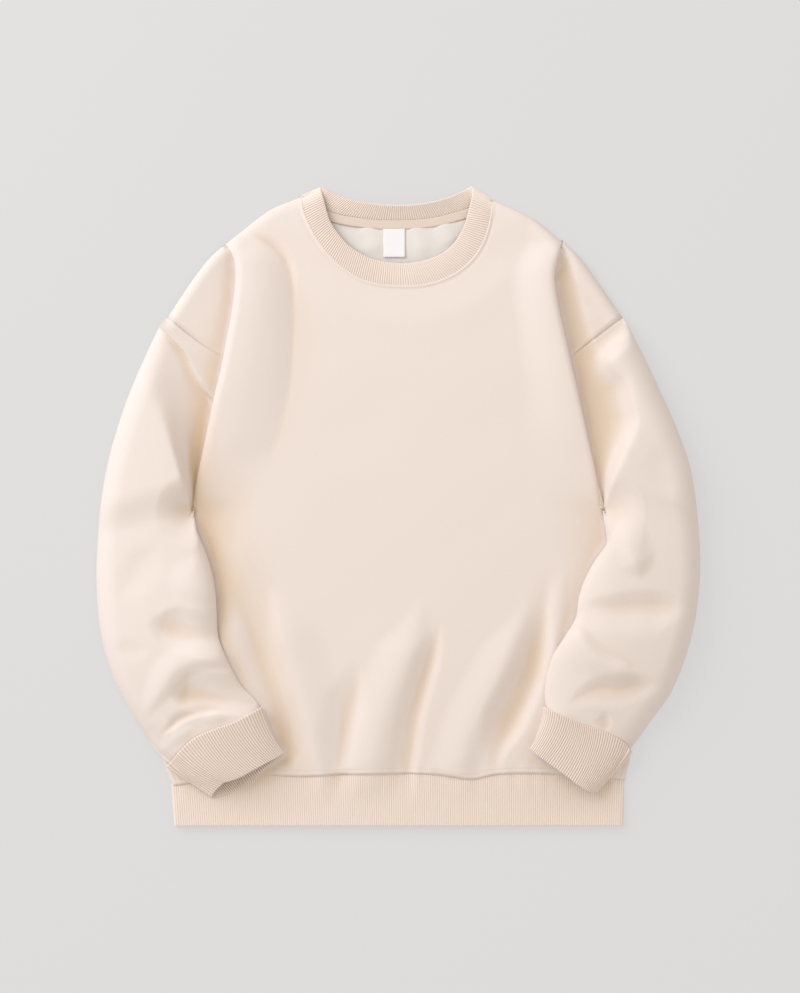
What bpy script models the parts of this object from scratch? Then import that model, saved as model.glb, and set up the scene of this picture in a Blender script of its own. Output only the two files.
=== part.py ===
# Crewneck sweatshirt of fleece-backed jersey, laid flat with both arms folded in.
# Lengths are millimetres and MM turns them into Blender's metres.
# Frame: origin under the middle of the outline, +Y toward the neck, +Z up off the surface.
# The wearer's left arm lies at +X, so LEFT below is the side at -X.

import math
from collections import namedtuple

import bmesh
import bpy
import numpy as np

MM = 0.001
NAME = "crewneck_sweatshirt"
LEFT = -1
RIGHT = 1

# Cloth
FLEECE = 2.0
RIB_CLOTH = 2.4
RIB_RAISED = 0.6
SEAM_GAP = 0.35
REST_GAP = 0.9
EDGE_Z = 3.1
REST_EDGE_Z = 7.0
HEM_GAP = 0.55
TAPE_THICK = 1.0
TAPE_WIDTH = 10.5
LABEL_WIDTH = 23.0
LABEL_HEIGHT = 30.0
LABEL_THICK = 0.8
LABEL_X = -4.5
# How far the tape, the label's top and the back's own edge lie below the back neck seam
TAPE_DROP = 2.2
LABEL_DROP = 0.4
BACK_NECK_DROP = 1.9
TAPE_ENDS = (0.02, 0.98)

# Rib counts, as far as the ribs face up
HEM_RIBS = 206
CUFF_RIBS = 40
COLLAR_FRONT_RIBS = 128
COLLAR_BACK_RIBS = 76

# Sections of the body, from the shoulder to the hem seam.
# left_x and right_x: the line of the side roll; tuck: how far the seam lies under it (the
# side seam lies outside it where negative); crest_z, roll_z, centre_z: heights of the outer
# face on that line, on the roll and in the middle; reach: where the roll has died away.
Section = namedtuple("Section", "y left_x right_x tuck crest_z roll_z centre_z reach")
BODY = (
    Section(298, -178.0, 181.0, 1.5, 11.0, 13.0, 11.5, 80),
    Section(262, -179.0, 175.0, 1.5, 15.0, 19.0, 13.0, 84),
    Section(225, -183.0, 175.5, 1.5, 15.0, 22.0, 14.0, 88),
    Section(163, -192.0, 188.0, 1.5, 15.0, 23.0, 15.0, 90),
    Section(118, -202.0, 199.0, 1.5, 14.5, 23.0, 15.0, 88),
    Section(76, -211.5, 207.5, 1.0, 13.0, 21.0, 15.0, 84),
    Section(35, -220.5, 216.5, -1.5, 9.5, 16.0, 15.0, 80),
    Section(-3, -226.5, 224.5, -6.0, 6.6, 9.0, 15.0, 90),
    Section(-80, -235.0, 231.0, -7.0, 6.6, 8.5, 15.0, 95),
    Section(-160, -244.0, 240.0, -7.0, 6.6, 8.5, 14.5, 95),
    Section(-230, -251.0, 246.0, -7.0, 6.6, 8.5, 13.0, 95),
    Section(-272, -253.5, 248.0, -7.0, 6.6, 8.5, 11.0, 95),
    Section(-304, -242.5, 241.0, -7.0, 6.6, 8.0, 9.0, 95),
)
ARMPIT_Y = -3
TURN_Y = 163
TURN_TUCK = 1.5
ROLL_IN = 14.0
# How the cloth turns down to the side seam: heights on the way out from the roll line
SEAM_TURN_IN = (-7.0, -6.8, -5.5, -3.0, 0.0)
SEAM_TURN_Z = (EDGE_Z, 4.6, 5.2, 5.9, 6.6)
# Shares of the crest's height across the yoke strip
YOKE_RISES = (0.0, 0.03, 0.16, 0.52, 1.0)
YOKE_SEAM_Z = 8.0
# The shoulder edge is rounded and the neck seam's height dies away over these widths
SHOULDER_ROUND = 11.0
NECK_FADE = 45.0
NECK_END_Z = 4.6

# Outline points, each x, y
SHOULDER_TIP = {LEFT: (-254.0, 208.0), RIGHT: (246.0, 208.0)}
SHOULDER_EDGE = {
    LEFT: ((-254, 208), (-228, 247), (-208, 273), (-178, 298)),
    RIGHT: ((246, 208), (219, 247), (200, 273), (181, 290)),
}
NECK_END = {LEFT: (-109.0, 339.5), RIGHT: (105.5, 336.0)}
YOKE_EDGE = {
    LEFT: ((-178, 298), (-141, 326), (-109, 339.5)),
    RIGHT: ((181, 290), (146, 317), (105.5, 336.0)),
}
NECK_SEAM = (
    (-106.0, 341.0), (-103.5, 325.0), (-93.5, 302.0), (-78.5, 280.0), (-58.0, 260.5),
    (-33.0, 247.5), (0.0, 243.0), (31.0, 245.0), (57.0, 254.0), (78.0, 269.5),
    (92.0, 290.0), (99.5, 314.0), (102.5, 336.5),
)
HEM_SEAM = (
    (-249.5, -307.5), (-222, -303), (-162, -294.5), (-109, -296.5), (-60, -294.5),
    (0, -293.5), (36, -294), (80, -299.5), (110, -294), (176, -294), (232, -298.5), (248, -301),
)
HEM_EDGE_Y = -351.5
HEM_SIDE = {LEFT: -245.5, RIGHT: 246.0}
HEM_END_IN = 0.6
HEM_HALF_DEPTH = 3.6
HEM_TOP_Z = 7.2
HEM_BULGE = 1.0
HEM_OVER_SEAM = 0.4
HEM_RIB_FADE = 4.0

# Collar band: loops round the neck on the seam and on the free edge, the front's marks first.
# Each mark is x, y and z of the middle of the rib cloth.
COLLAR_FRONT_SPANS = 12
COLLAR_SEAM = (
    (-106.2, 340.5, 4.4), (-104.0, 325.0, 7.6), (-93.5, 302.0, 8.8), (-78.5, 280.0, 9.2),
    (-58.0, 260.5, 9.4), (-33.0, 247.5, 9.5), (0.0, 243.0, 9.5), (31.0, 245.0, 9.5),
    (57.0, 254.0, 9.4), (78.0, 269.5, 9.2), (92.0, 290.0, 8.8), (99.5, 314.0, 7.6),
    (102.7, 336.0, 4.4), (91.0, 333.5, 1.8), (72.0, 326.5, 1.8), (36.0, 317.5, 1.8),
    (0.0, 315.0, 1.8), (-36.0, 316.5, 1.8), (-72.0, 323.0, 1.8), (-93.0, 333.0, 1.8),
)
COLLAR_FREE = (
    (-84.6, 351.0, 4.6), (-81.6, 336.0, 8.4), (-75.5, 315.0, 9.0), (-65.0, 298.3, 9.3),
    (-50.0, 283.3, 9.5), (-28.0, 271.8, 9.6), (0.0, 267.2, 9.6), (20.0, 268.6, 9.6),
    (38.0, 273.4, 9.5), (56.0, 284.2, 9.3), (67.7, 299.8, 9.0), (75.0, 318.0, 8.6),
    (81.0, 351.0, 4.6), (72.0, 347.5, 4.0), (54.0, 339.5, 9.0), (28.0, 333.2, 14.5),
    (0.0, 331.2, 16.0), (-28.0, 333.0, 14.5), (-54.0, 337.5, 9.0), (-74.0, 345.5, 4.0),
)

# Sleeves, a row for each ring from the armhole to the cuff seam: the outer and inner edge.
Ring = namedtuple("Ring", "outer_x outer_y inner_x inner_y")
SLEEVES = {
    LEFT: (
        Ring(-254.0, 208.0, -233.0, -3.0), Ring(-265.0, 193.0, -234.5, -9.5),
        Ring(-279.0, 163.0, -231.0, -19.0), Ring(-293.0, 130.0, -221.5, -31.0),
        Ring(-307.0, 91.0, -213.0, -48.0), Ring(-320.0, 43.0, -206.0, -70.0),
        Ring(-328.0, -8.0, -202.0, -93.0), Ring(-331.7, -60.0, -199.5, -117.0),
        Ring(-331.0, -104.0, -198.0, -139.0), Ring(-326.0, -145.0, -194.0, -157.0),
        Ring(-315.0, -183.0, -185.0, -175.0), Ring(-299.0, -217.0, -171.0, -196.0),
        Ring(-279.0, -249.0, -158.0, -211.0), Ring(-264.0, -270.0, -153.5, -217.5),
        Ring(-250.5, -283.0, -152.0, -222.0),
    ),
    RIGHT: (
        Ring(246.0, 208.0, 231.0, -3.0), Ring(256.0, 191.0, 231.5, -9.0),
        Ring(270.0, 164.0, 228.0, -18.0), Ring(286.0, 130.0, 228.5, -29.0),
        Ring(303.5, 91.0, 227.5, -42.0), Ring(320.0, 45.0, 216.0, -59.0),
        Ring(328.0, -5.0, 205.0, -79.0), Ring(331.5, -52.0, 197.5, -101.0),
        Ring(330.5, -90.0, 194.0, -122.0), Ring(325.0, -130.0, 181.0, -144.0),
        Ring(314.0, -170.0, 169.0, -163.0), Ring(298.0, -207.0, 162.0, -186.0),
        Ring(277.0, -236.0, 160.0, -203.0), Ring(264.0, -254.0, 160.5, -214.0),
        Ring(252.5, -268.0, 162.0, -222.0),
    ),
}
# The dip between the sleeve and the side roll: its far bank and the crease at its head
Dip = namedtuple("Dip", "bank_top bank_foot crease_out crease_in")
DIPS = {
    LEFT: Dip((-261, 124), (-228, -3), (-260, 199), (-202, 122)),
    RIGHT: Dip((251, 93), (226, 2), (262, 152), (190, 150)),
}
DIP_Z = 6.2
ARM_PUFF = 23.0
CUFF_PUFF = 17.0
CUFF_END_PUFF = 14.5
SLEEVE_EDGE_Z = 4.8
CUFF_EDGE_Z = 6.0

# Cuffs: how far the seam bows toward the hand, and the corners of the open end.
# A cuff rests over the front or, lower down, over the hem band.
CUFF_FRONT_END_Y = -294.0
CUFF_REST_Z = 9.0
CUFF_GAP = 0.6
Cuff = namedtuple("Cuff", "bow outer inner end_bow")
CUFFS = {
    LEFT: Cuff(-6.0, (-206.0, -319.0), (-126.0, -271.0), -3.0),
    RIGHT: Cuff(-4.0, (218.0, -313.5), (145.0, -267.0), 2.5),
}

# Folds in the cloth, each on a curve through three points. The cloth rises, or sinks where
# rise is negative, and dies away over the width on each side of the curve, as walked.
Fold = namedtuple("Fold", "x0 y0 x1 y1 x2 y2 left right rise")
BODY_FOLDS = (
    Fold(-114, -100, -107, -158, -84, -240, 40, 7, -4.5),
    Fold(-128, -90, -120, -160, -98, -235, 7, 26, 3.0),
    Fold(12, -110, -38, -200, -60, -255, 34, 16, 3.5),
    Fold(162, -85, 156, -147, 110, -250, 9, 34, -5.0),
    Fold(176, -80, 170, -147, 150, -215, 20, 9, 2.5),
)
SLEEVE_FOLDS = {
    LEFT: (
        Fold(-270, -121, -236, -126, -196, -120, 13, 11, -6.5),
        Fold(-262, -90, -232, -88, -205, -84, 24, 20, 3.0),
        Fold(-196, -160, -250, -186, -288, -236, 14, 14, 4.0),
        Fold(-182, -180, -236, -196, -252, -210, 12, 9, -5.0),
        Fold(-252, -240, -236, -232, -220, -227, 9, 9, -3.0),
    ),
    RIGHT: (
        Fold(203, -96, 258, -92, 322, -117, 12, 14, -6.0),
        Fold(232, -58, 256, -70, 284, -76, 22, 18, 3.5),
        Fold(190, -130, 224, -165, 270, -177, 16, 13, 4.0),
        Fold(172, -205, 224, -196, 290, -197, 13, 10, -5.0),
    ),
}

# Mesh density: rows down the yoke are shares of its length, the rest are counts
YOKE_ROWS = (0.0, 0.009, 0.04, 0.12, 0.34, 0.66, 1.0)
FOLD_ROWS = (0.0, 0.14, 0.29, 0.44, 0.59, 0.73, 0.86, 0.95, 1.0)
SIDE_ROWS = 13
STRIP_SHARES = (0.0, 0.3, 0.58, 0.82, 1.0)
ROLL_COLUMNS = (0.0, 8.0, 22.0, 45.0)
ROLL_SPAN = 92.0
NECK_COLUMNS = 20
UNDER_ROWS = (13, 12, 11, 10, 9, 8, 7, 6, 5, 4, 3, 1)
NECK_CHORD = 0.5
CURVE_STEPS = 14
COLLAR_STEPS = 8
COLLAR_PLAIN_FRONT = 44
COLLAR_PLAIN_BACK = 24
HEM_UNDER_POINTS = 9
BACK_NECK_POINTS = 19
BACK_SHOULDER_POINTS = 15
TAPE_POINTS = 25

# Colours, linear
FLEECE_COLOUR = (0.82, 0.72, 0.64, 1.0)
RIB_COLOUR = (0.77, 0.66, 0.58, 1.0)
INSIDE_COLOUR = (0.72, 0.66, 0.60, 1.0)
TAPE_COLOUR = (0.72, 0.58, 0.48, 1.0)
LABEL_COLOUR = (0.85, 0.85, 0.86, 1.0)
CLOTH_ROUGHNESS = 0.9


def smooth(t):
    t = np.clip(t, 0.0, 1.0)
    return t * t * (3.0 - 2.0 * t)


def quarter_round(t):
    return np.sqrt(1.0 - (1.0 - np.clip(t, 0.0, 1.0)) ** 2)


def blend(a, b, share):
    return a + (b - a) * share


# A smooth curve through marks, as closely spaced points
def curve_through(marks, closed=False, steps=CURVE_STEPS):
    marks = np.array(marks, dtype=float)
    count = len(marks)
    spans = count if closed else count - 1
    points = []
    for i in range(spans):
        here = marks[i]
        there = marks[(i + 1) % count]
        before = marks[i - 1] if (closed or i > 0) else here
        after = marks[(i + 2) % count] if (closed or i + 2 < count) else there
        span = np.linalg.norm(there - here)
        leave = (there - before) / (np.linalg.norm(here - before) + span) * span
        arrive = (after - here) / (np.linalg.norm(after - there) + span) * span
        for k in range(steps):
            t = k / steps
            points.append(
                (2 * t**3 - 3 * t**2 + 1) * here + (t**3 - 2 * t**2 + t) * leave
                + (3 * t**2 - 2 * t**3) * there + (t**3 - t**2) * arrive
            )
    points.append(marks[0] if closed else marks[-1])
    return np.array(points)


# Points at given shares of a polyline's length
def at_shares(line, shares):
    steps = np.linalg.norm(np.diff(line, axis=0), axis=1)
    travelled = np.concatenate(([0.0], np.cumsum(steps)))
    wanted = np.array(shares) * travelled[-1]
    return np.stack([np.interp(wanted, travelled, line[:, k]) for k in range(line.shape[1])], axis=1)


# A body section's value at height y
def section_value(name, y):
    heights = [row.y for row in reversed(BODY)]
    values = [getattr(row, name) for row in reversed(BODY)]
    return np.interp(y, heights, values)


def roll_x(side, y):
    return section_value("left_x" if side == LEFT else "right_x", y)


# Sum of the folds' rise at points x, y
def fold_rise(folds, x, y):
    total = np.zeros(np.shape(x))
    for fold in folds:
        path = curve_through(((fold.x0, fold.y0), (fold.x1, fold.y1), (fold.x2, fold.y2)), steps=10)
        best = np.full(np.shape(x), 1e9)
        offset = np.zeros(np.shape(x))
        share = np.zeros(np.shape(x))
        spans = len(path) - 1
        for i in range(spans):
            step = path[i + 1] - path[i]
            length = np.linalg.norm(step)
            along = ((x - path[i, 0]) * step[0] + (y - path[i, 1]) * step[1]) / length**2
            held = np.clip(along, 0.0, 1.0)
            gap_x = x - path[i, 0] - held * step[0]
            gap_y = y - path[i, 1] - held * step[1]
            gap = np.hypot(gap_x, gap_y)
            nearer = gap < best
            best = np.where(nearer, gap, best)
            turn = step[0] * gap_y - step[1] * gap_x
            offset = np.where(nearer, np.where(turn > 0, gap, -gap), offset)
            share = np.where(nearer, (i + held) / spans, share)
        width = np.where(offset > 0, fold.left, fold.right)
        fade = smooth(share / 0.3) * smooth((1.0 - share) / 0.2) * 0.75 + 0.25
        total = total + fold.rise * fade * np.exp(-((offset / width) ** 2))
    return total


# Height of the front's outer face at x, y, away from the shoulder and neck edges
def front_height(x, y):
    centre = section_value("centre_z", y)
    crest = section_value("crest_z", y)
    roll = section_value("roll_z", y)
    reach = section_value("reach", y)
    height = centre + fold_rise(BODY_FOLDS, x, y) * smooth((y + 304.0) / 55.0)
    for side in (LEFT, RIGHT):
        inward = -side * (x - roll_x(side, y))
        rising = crest + (roll - crest) * np.sin(np.clip(inward / ROLL_IN, 0.0, 1.0) * math.pi / 2)
        dying = roll + (height - roll) * smooth((inward - ROLL_IN) / (reach - ROLL_IN))
        banked = np.where(inward < ROLL_IN, rising, dying)
        edge = np.interp(inward, SEAM_TURN_IN, SEAM_TURN_Z)
        banked = np.where(inward < 0.0, np.minimum(edge, crest), banked)
        height = np.where(inward < reach, banked, height)
    return height


# The seam at a side of the body, from the shoulder tip down to the hem, as rows of x, y
def side_seam(side):
    turn = (roll_x(side, TURN_Y) - side * TURN_TUCK, TURN_Y)
    yoke = at_shares(np.array((SHOULDER_TIP[side], turn)), YOKE_ROWS)
    roll = roll_line(side)
    below = roll[len(YOKE_ROWS) - 1:]
    tuck = section_value("tuck", below[:, 1])
    seam = np.stack((below[:, 0] - side * tuck, below[:, 1]), axis=1)
    seam[-1] = HEM_SEAM[0] if side == LEFT else HEM_SEAM[-1]
    return np.concatenate((yoke[:-1], seam))


# The hem seam's point at x
def on_hem(x):
    curve = curve_through(HEM_SEAM)
    return x, float(np.interp(x, curve[:, 0], curve[:, 1]))


# The line of the side roll, with the same rows
def roll_line(side):
    top = SHOULDER_EDGE[side][-1]
    marks = [top] + [(roll_x(side, row.y), row.y) for row in BODY[1:-1]]
    marks.append(on_hem(float(roll_x(side, BODY[-1].y))))
    turn = next(i for i, mark in enumerate(marks) if mark[1] == TURN_Y)
    pit = next(i for i, mark in enumerate(marks) if mark[1] == ARMPIT_Y)
    line = curve_through(marks)
    turn_point = turn * CURVE_STEPS
    pit_point = pit * CURVE_STEPS
    yoke = at_shares(line[: turn_point + 1], YOKE_ROWS)
    fold = at_shares(line[turn_point: pit_point + 1], FOLD_ROWS)
    rest = at_shares(line[pit_point:], np.linspace(0, 1, SIDE_ROWS + 1))
    return np.concatenate((yoke, fold[1:], rest[1:]))


ARM_ROWS = len(YOKE_ROWS) + len(FOLD_ROWS) - 1


# The strip between the seam and the roll line: x, y, z for each row, seam first
def side_strip(side):
    seam = side_seam(side)
    roll = roll_line(side)
    yoke_rows = len(YOKE_ROWS) - 1
    strip = np.zeros((len(seam), len(STRIP_SHARES), 3))
    edge = at_shares(curve_through(SHOULDER_EDGE[side]), STRIP_SHARES)
    edge = edge - blend(edge[0], edge[-1], np.array(STRIP_SHARES)[:, None])
    for j in range(len(seam)):
        y = roll[j, 1]
        crest = float(section_value("crest_z", y))
        if j < yoke_rows:
            strip[j, :, :2] = blend(seam[j], roll[j], np.array(STRIP_SHARES)[:, None])
            strip[j, :, :2] += edge * (1.0 - YOKE_ROWS[j]) ** 1.5
            strip[j, :, 2] = blend(YOKE_SEAM_Z, crest, np.array(YOKE_RISES))
        else:
            tuck = float(section_value("tuck", y))
            under = np.clip((tuck + 6.0) / 7.5, 0.0, 1.0)
            shut = (tuck, tuck + 0.2, tuck + 1.5, tuck + 4.0, 0.0)
            open_ = (tuck, tuck + 1.3, 4.2, 3.4, 0.0)
            inward = blend(np.array(shut), np.array(open_), under)
            low = np.array(SEAM_TURN_Z)
            high = np.array((DIP_Z, DIP_Z + 0.2, DIP_Z + 2.2, DIP_Z + 5.4, crest))
            strip[j, :, 0] = roll[j, 0] - side * inward
            strip[j, :, 1] = blend(seam[j, 1], roll[j, 1], np.array(STRIP_SHARES))
            if j == len(seam) - 1:
                strip[j, :, 1] = [on_hem(x)[1] for x in strip[j, :, 0]]
            strip[j, :, 2] = blend(low, high, under)
    fall = shoulder_fall(side, strip[:, :, 0], strip[:, :, 1])
    strip[:, :, 2] = blend(EDGE_Z, strip[:, :, 2], fall)
    return strip


# How far a point has come up from the shoulder edge: 0 on it, 1 where the cloth lies free
def shoulder_fall(side, x, y):
    edge = curve_through(SHOULDER_EDGE[side] + YOKE_EDGE[side][1:])
    gap = np.full(np.shape(x), 1e9)
    for a, b in zip(edge[:-1], edge[1:]):
        step = b - a
        along = np.clip(((x - a[0]) * step[0] + (y - a[1]) * step[1]) / step.dot(step), 0, 1)
        gap = np.minimum(gap, np.hypot(x - a[0] - along * step[0], y - a[1] - along * step[1]))
    return quarter_round(gap / SHOULDER_ROUND)


# The front between its two roll lines: top edge, bottom edge and the rolls, blended
def front_middle():
    left = roll_line(LEFT)
    right = roll_line(RIGHT)
    rows = len(left)
    neck = neck_outside(at_shares(curve_through(NECK_SEAM), np.linspace(0, 1, NECK_COLUMNS + 1)))
    neck[0] = NECK_END[LEFT]
    neck[-1] = NECK_END[RIGHT]
    top = []
    for side, end in ((LEFT, 0), (RIGHT, -1)):
        yoke = curve_through(YOKE_EDGE[side])
        length = np.linalg.norm(np.diff(yoke, axis=0), axis=1).sum()
        top.append(at_shares(yoke, np.array(ROLL_COLUMNS) / length))
    top = np.concatenate((top[0], neck, top[1][::-1]))
    hem_curve = curve_through(HEM_SEAM)
    width = right[-1, 0] - left[-1, 0]
    inner = np.linspace(ROLL_SPAN, width - ROLL_SPAN, NECK_COLUMNS + 1)
    across = np.concatenate((ROLL_COLUMNS, inner, width - np.array(ROLL_COLUMNS)[::-1]))
    hem_x = left[-1, 0] + across
    hem_y = np.interp(hem_x, hem_curve[:, 0], hem_curve[:, 1])
    hem = np.stack((hem_x, hem_y), axis=1)
    u = (across / width)[None, :, None]
    travelled = np.zeros(rows)
    for line in (left, right):
        steps = np.linalg.norm(np.diff(line, axis=0), axis=1)
        travelled += np.concatenate(([0.0], np.cumsum(steps))) / steps.sum() / 2
    v = travelled[:, None, None]
    plan = blend(top[None], hem[None], v)
    left_bow = left[:, None] - blend(left[0], left[-1], travelled[:, None])[:, None]
    right_bow = right[:, None] - blend(right[0], right[-1], travelled[:, None])[:, None]
    plan = plan + (1 - u) * left_bow + u * right_bow
    x = plan[:, :, 0]
    y = plan[:, :, 1]
    z = front_height(x, y)
    steps = np.linalg.norm(np.diff(plan, axis=0), axis=2)
    down = np.concatenate((np.zeros((1, plan.shape[1])), np.cumsum(steps, axis=0)))
    first = len(ROLL_COLUMNS)
    last = first + NECK_COLUMNS
    share = np.clip((np.arange(plan.shape[1]) - first) / NECK_COLUMNS, 0, 1)
    neck_z = neck_height(share)[None, :]
    inside = (np.arange(plan.shape[1]) > first) & (np.arange(plan.shape[1]) < last)
    from_neck = neck_z + (z - neck_z) * smooth(down / NECK_FADE)
    fall = np.where(x < 0, shoulder_fall(LEFT, x, y), shoulder_fall(RIGHT, x, y))
    from_shoulder = blend(EDGE_Z, z, fall)
    blend_in = smooth((np.minimum(share, 1 - share) * NECK_COLUMNS) / 1.5)[None, :]
    near_neck = blend(np.minimum(from_neck, from_shoulder), from_neck, blend_in)
    z = np.where(inside[None, :], near_neck, from_shoulder)
    z[0, first] = NECK_END_Z
    z[0, last] = NECK_END_Z
    return np.dstack((x, y, z))


# Height of the neck seam at a share of its way from shoulder to shoulder
def neck_height(share):
    return 10.4 - 5.0 * np.abs(2 * share - 1) ** 7


# The neck seam moved off the collar by the seam's gap
def neck_outside(neck):
    run = np.gradient(neck, axis=0)
    run /= np.linalg.norm(run, axis=1)[:, None]
    outward = np.stack((run[:, 1], -run[:, 0]), axis=1)
    near_shoulder = np.abs(np.linspace(-1.0, 1.0, len(neck))) ** 2
    gap = SEAM_GAP + NECK_CHORD + near_shoulder * 1.5
    return neck + outward * gap[:, None]


def front_points():
    middle = front_middle()
    left = side_strip(LEFT)
    right = side_strip(RIGHT)
    middle[:, 0] = left[:, -1]
    middle[:, -1] = right[:, -1]
    return np.concatenate((left[:, :-1], middle, right[:, ::-1][:, 1:]), axis=1)


# The armhole on the front, as the sleeve's first points: x, y, z, moved off by the seam's gap
def armhole(side):
    seam = side_strip(side)[:ARM_ROWS, 0].copy()
    run = np.gradient(seam[:, :2], axis=0)
    run /= np.linalg.norm(run, axis=1)[:, None]
    seam[:, 0] -= side * run[:, 1] * SEAM_GAP
    seam[:, 1] += side * run[:, 0] * SEAM_GAP
    return seam


# Height that a sleeve rests at: the floor, or the front under it
def rest_height(side, x, y):
    seam = side_seam(side)
    edge_x = np.interp(y, seam[::-1, 1], seam[::-1, 0])
    outside = side * (x - edge_x)
    level = np.maximum(y, BODY[-1].y)
    body = np.maximum(front_height(x, level), front_height(x - side * 6.0, level)) + REST_GAP
    ramp = REST_EDGE_Z * smooth(1.0 - (outside - 3.0) / 20.0)
    height = np.where(outside > 0, ramp, np.maximum(body, REST_EDGE_Z))
    return height * smooth(1.0 - (y - ARMPIT_Y) / 40.0)


# 0 outside the dip beside the roll, 1 in it
def dip_share(side, x, y):
    dip = DIPS[side]
    bank = np.subtract(dip.bank_foot, dip.bank_top)
    crease = np.subtract(dip.crease_in, dip.crease_out)
    past_bank = side * ((x - dip.bank_top[0]) * bank[1] - (y - dip.bank_top[1]) * bank[0])
    past_crease = -side * ((x - dip.crease_out[0]) * crease[1] - (y - dip.crease_out[1]) * crease[0])
    past_bank = past_bank / np.linalg.norm(bank)
    past_crease = past_crease / np.linalg.norm(crease)
    return smooth((past_bank + 4.0) / 12.0) * smooth((past_crease + 2.0) / 22.0)


# Points across a laid ring at given shares of its width, bowed toward the hand
def across_ring(side, outer, inner, share, bow):
    outer = np.array(outer, dtype=float)
    span = np.array(inner, dtype=float) - outer
    width = np.linalg.norm(span)
    toward_hand = side * np.array((-span[1], span[0])) / width
    lift = bow * 4.0 * share * (1.0 - share)
    return outer + share[:, None] * span + lift[:, None] * toward_hand, width


# Height of a laid ring's upper side above what it rests on
def ring_puff(share, width, puff, edge_z):
    rounded = quarter_round(share * width / 26.0) * quarter_round((1.0 - share) * width / 18.0)
    return edge_z + (puff - edge_z) * rounded, rounded


def eased_shares(count, ease):
    even = np.linspace(0.0, 1.0, count)
    return blend(even, 0.5 - 0.5 * np.cos(math.pi * even), ease)


# Rings of a sleeve's outer face: over the top from the outer edge in, then back underneath
def sleeve_rings(side):
    hole = armhole(side)
    steps = np.linalg.norm(np.diff(hole[:, :2], axis=0), axis=1)
    hole_share = np.concatenate(([0.0], np.cumsum(steps))) / steps.sum()
    straight = hole[0, :2] + hole_share[:, None] * (hole[-1, :2] - hole[0, :2])
    bulge = hole[:, :2] - straight
    top_share = eased_shares(len(hole), 0.75)
    under = np.array(UNDER_ROWS)
    rows = SLEEVES[side]
    rings = []
    for j, row in enumerate(rows):
        v = j / (len(rows) - 1)
        share = blend(top_share, hole_share, (1.0 - v) ** 4)
        outer = (row.outer_x, row.outer_y)
        inner = (row.inner_x, row.inner_y)
        if j == 0:
            outer = hole[0, :2]
            inner = hole[-1, :2]
        bow = CUFFS[side].bow * smooth((v - 0.7) / 0.3)
        pull = (1.0 - v) ** 3 * (1.0 - smooth((v - 0.35) / 0.3))
        plan, width = across_ring(side, outer, inner, share, bow)
        bulged = [np.interp(share, hole_share, bulge[:, k]) for k in (0, 1)]
        near_pit = pull ** (1.0 + 2.0 * smooth((share - 0.7) / 0.3))
        top = plan + np.stack(bulged, axis=1) * near_pit[:, None]
        rest = rest_height(side, top[:, 0], top[:, 1])
        puff = blend(ARM_PUFF, CUFF_PUFF, smooth((v - 0.6) / 0.4))
        height, rounded = ring_puff(share, width, puff, SLEEVE_EDGE_Z)
        height = height + fold_rise(SLEEVE_FOLDS[side], top[:, 0], top[:, 1]) * rounded
        full = rest + np.maximum(height, SLEEVE_EDGE_Z)
        low = np.maximum(rest + SLEEVE_EDGE_Z, DIP_Z)
        dipped = blend(full, low, dip_share(side, top[:, 0], top[:, 1]))
        top_z = blend(hole[:, 2], dipped, smooth(v / 0.16))
        top_z = np.maximum(top_z, rest + SLEEVE_EDGE_Z * smooth(v / 0.05))
        nose = SLEEVE_EDGE_Z * blend(0.5, 1.0, smooth(v / 0.2))
        top_z[0] = rest[0] + nose
        top_z[-1] = rest[-1] + nose
        upper = np.column_stack((top, top_z))
        lower = np.column_stack((top[under], rest[under]))
        rings.append(np.concatenate((upper, lower)))
    return np.array(rings)


# Height that a cuff rests at: the front and the hem under it
def band_rest(x, y):
    body = front_height(x, np.maximum(y, CUFF_FRONT_END_Y))
    return np.maximum(body, CUFF_REST_Z) + REST_GAP + RIB_RAISED + CUFF_GAP


# Unit normals of a closed band's rings, facing out
def ring_normals(rings):
    around = np.roll(rings, -1, axis=1) - np.roll(rings, 1, axis=1)
    along = np.gradient(rings, axis=0)
    normals = np.cross(around, along)
    return normals / np.linalg.norm(normals, axis=2)[:, :, None]


# A closed ring's points at given places, where place i is the ring's own point i
def ring_at(ring, places):
    closed = np.concatenate((ring, ring[:1]))
    own = np.arange(len(closed))
    return np.stack([np.interp(places, own, closed[:, k]) for k in range(3)], axis=1)


# Rib tops and valleys: +1 and 0 in turn
def rib_wave(count):
    return np.arange(count) % 2


# A cuff's sections as plain rings, from the sleeve's last ring to the open end
def cuff_rings(side, last_ring):
    cuff = CUFFS[side]
    share = eased_shares(ARM_ROWS, 0.75)
    under = np.array(UNDER_ROWS)
    rings = []
    start = SLEEVES[side][-1]
    seam_ring = last_ring.copy()
    hand = np.subtract(cuff.outer, (start.outer_x, start.outer_y))
    hand = hand + np.subtract(cuff.inner, (start.inner_x, start.inner_y))
    seam_ring[:, :2] += hand / np.linalg.norm(hand) * SEAM_GAP
    rings.append(seam_ring)
    for v in (0.5, 1.0):
        outer = blend(np.array((start.outer_x, start.outer_y)), np.array(cuff.outer), v)
        inner = blend(np.array((start.inner_x, start.inner_y)), np.array(cuff.inner), v)
        bow = blend(cuff.bow, cuff.end_bow, v)
        top, width = across_ring(side, outer, inner, share, bow)
        puff = blend(CUFF_PUFF, CUFF_END_PUFF, v)
        height, rounded = ring_puff(share, width, puff, CUFF_EDGE_Z)
        rest = band_rest(top[:, 0], top[:, 1])
        top_z = rest + height
        top_z[0] -= height[0] / 2
        top_z[-1] -= height[-1] / 2
        upper = np.column_stack((top, top_z))
        lower = np.column_stack((top[under], rest[under]))
        rings.append(np.concatenate((upper, lower)))
    return np.array(rings)


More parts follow.
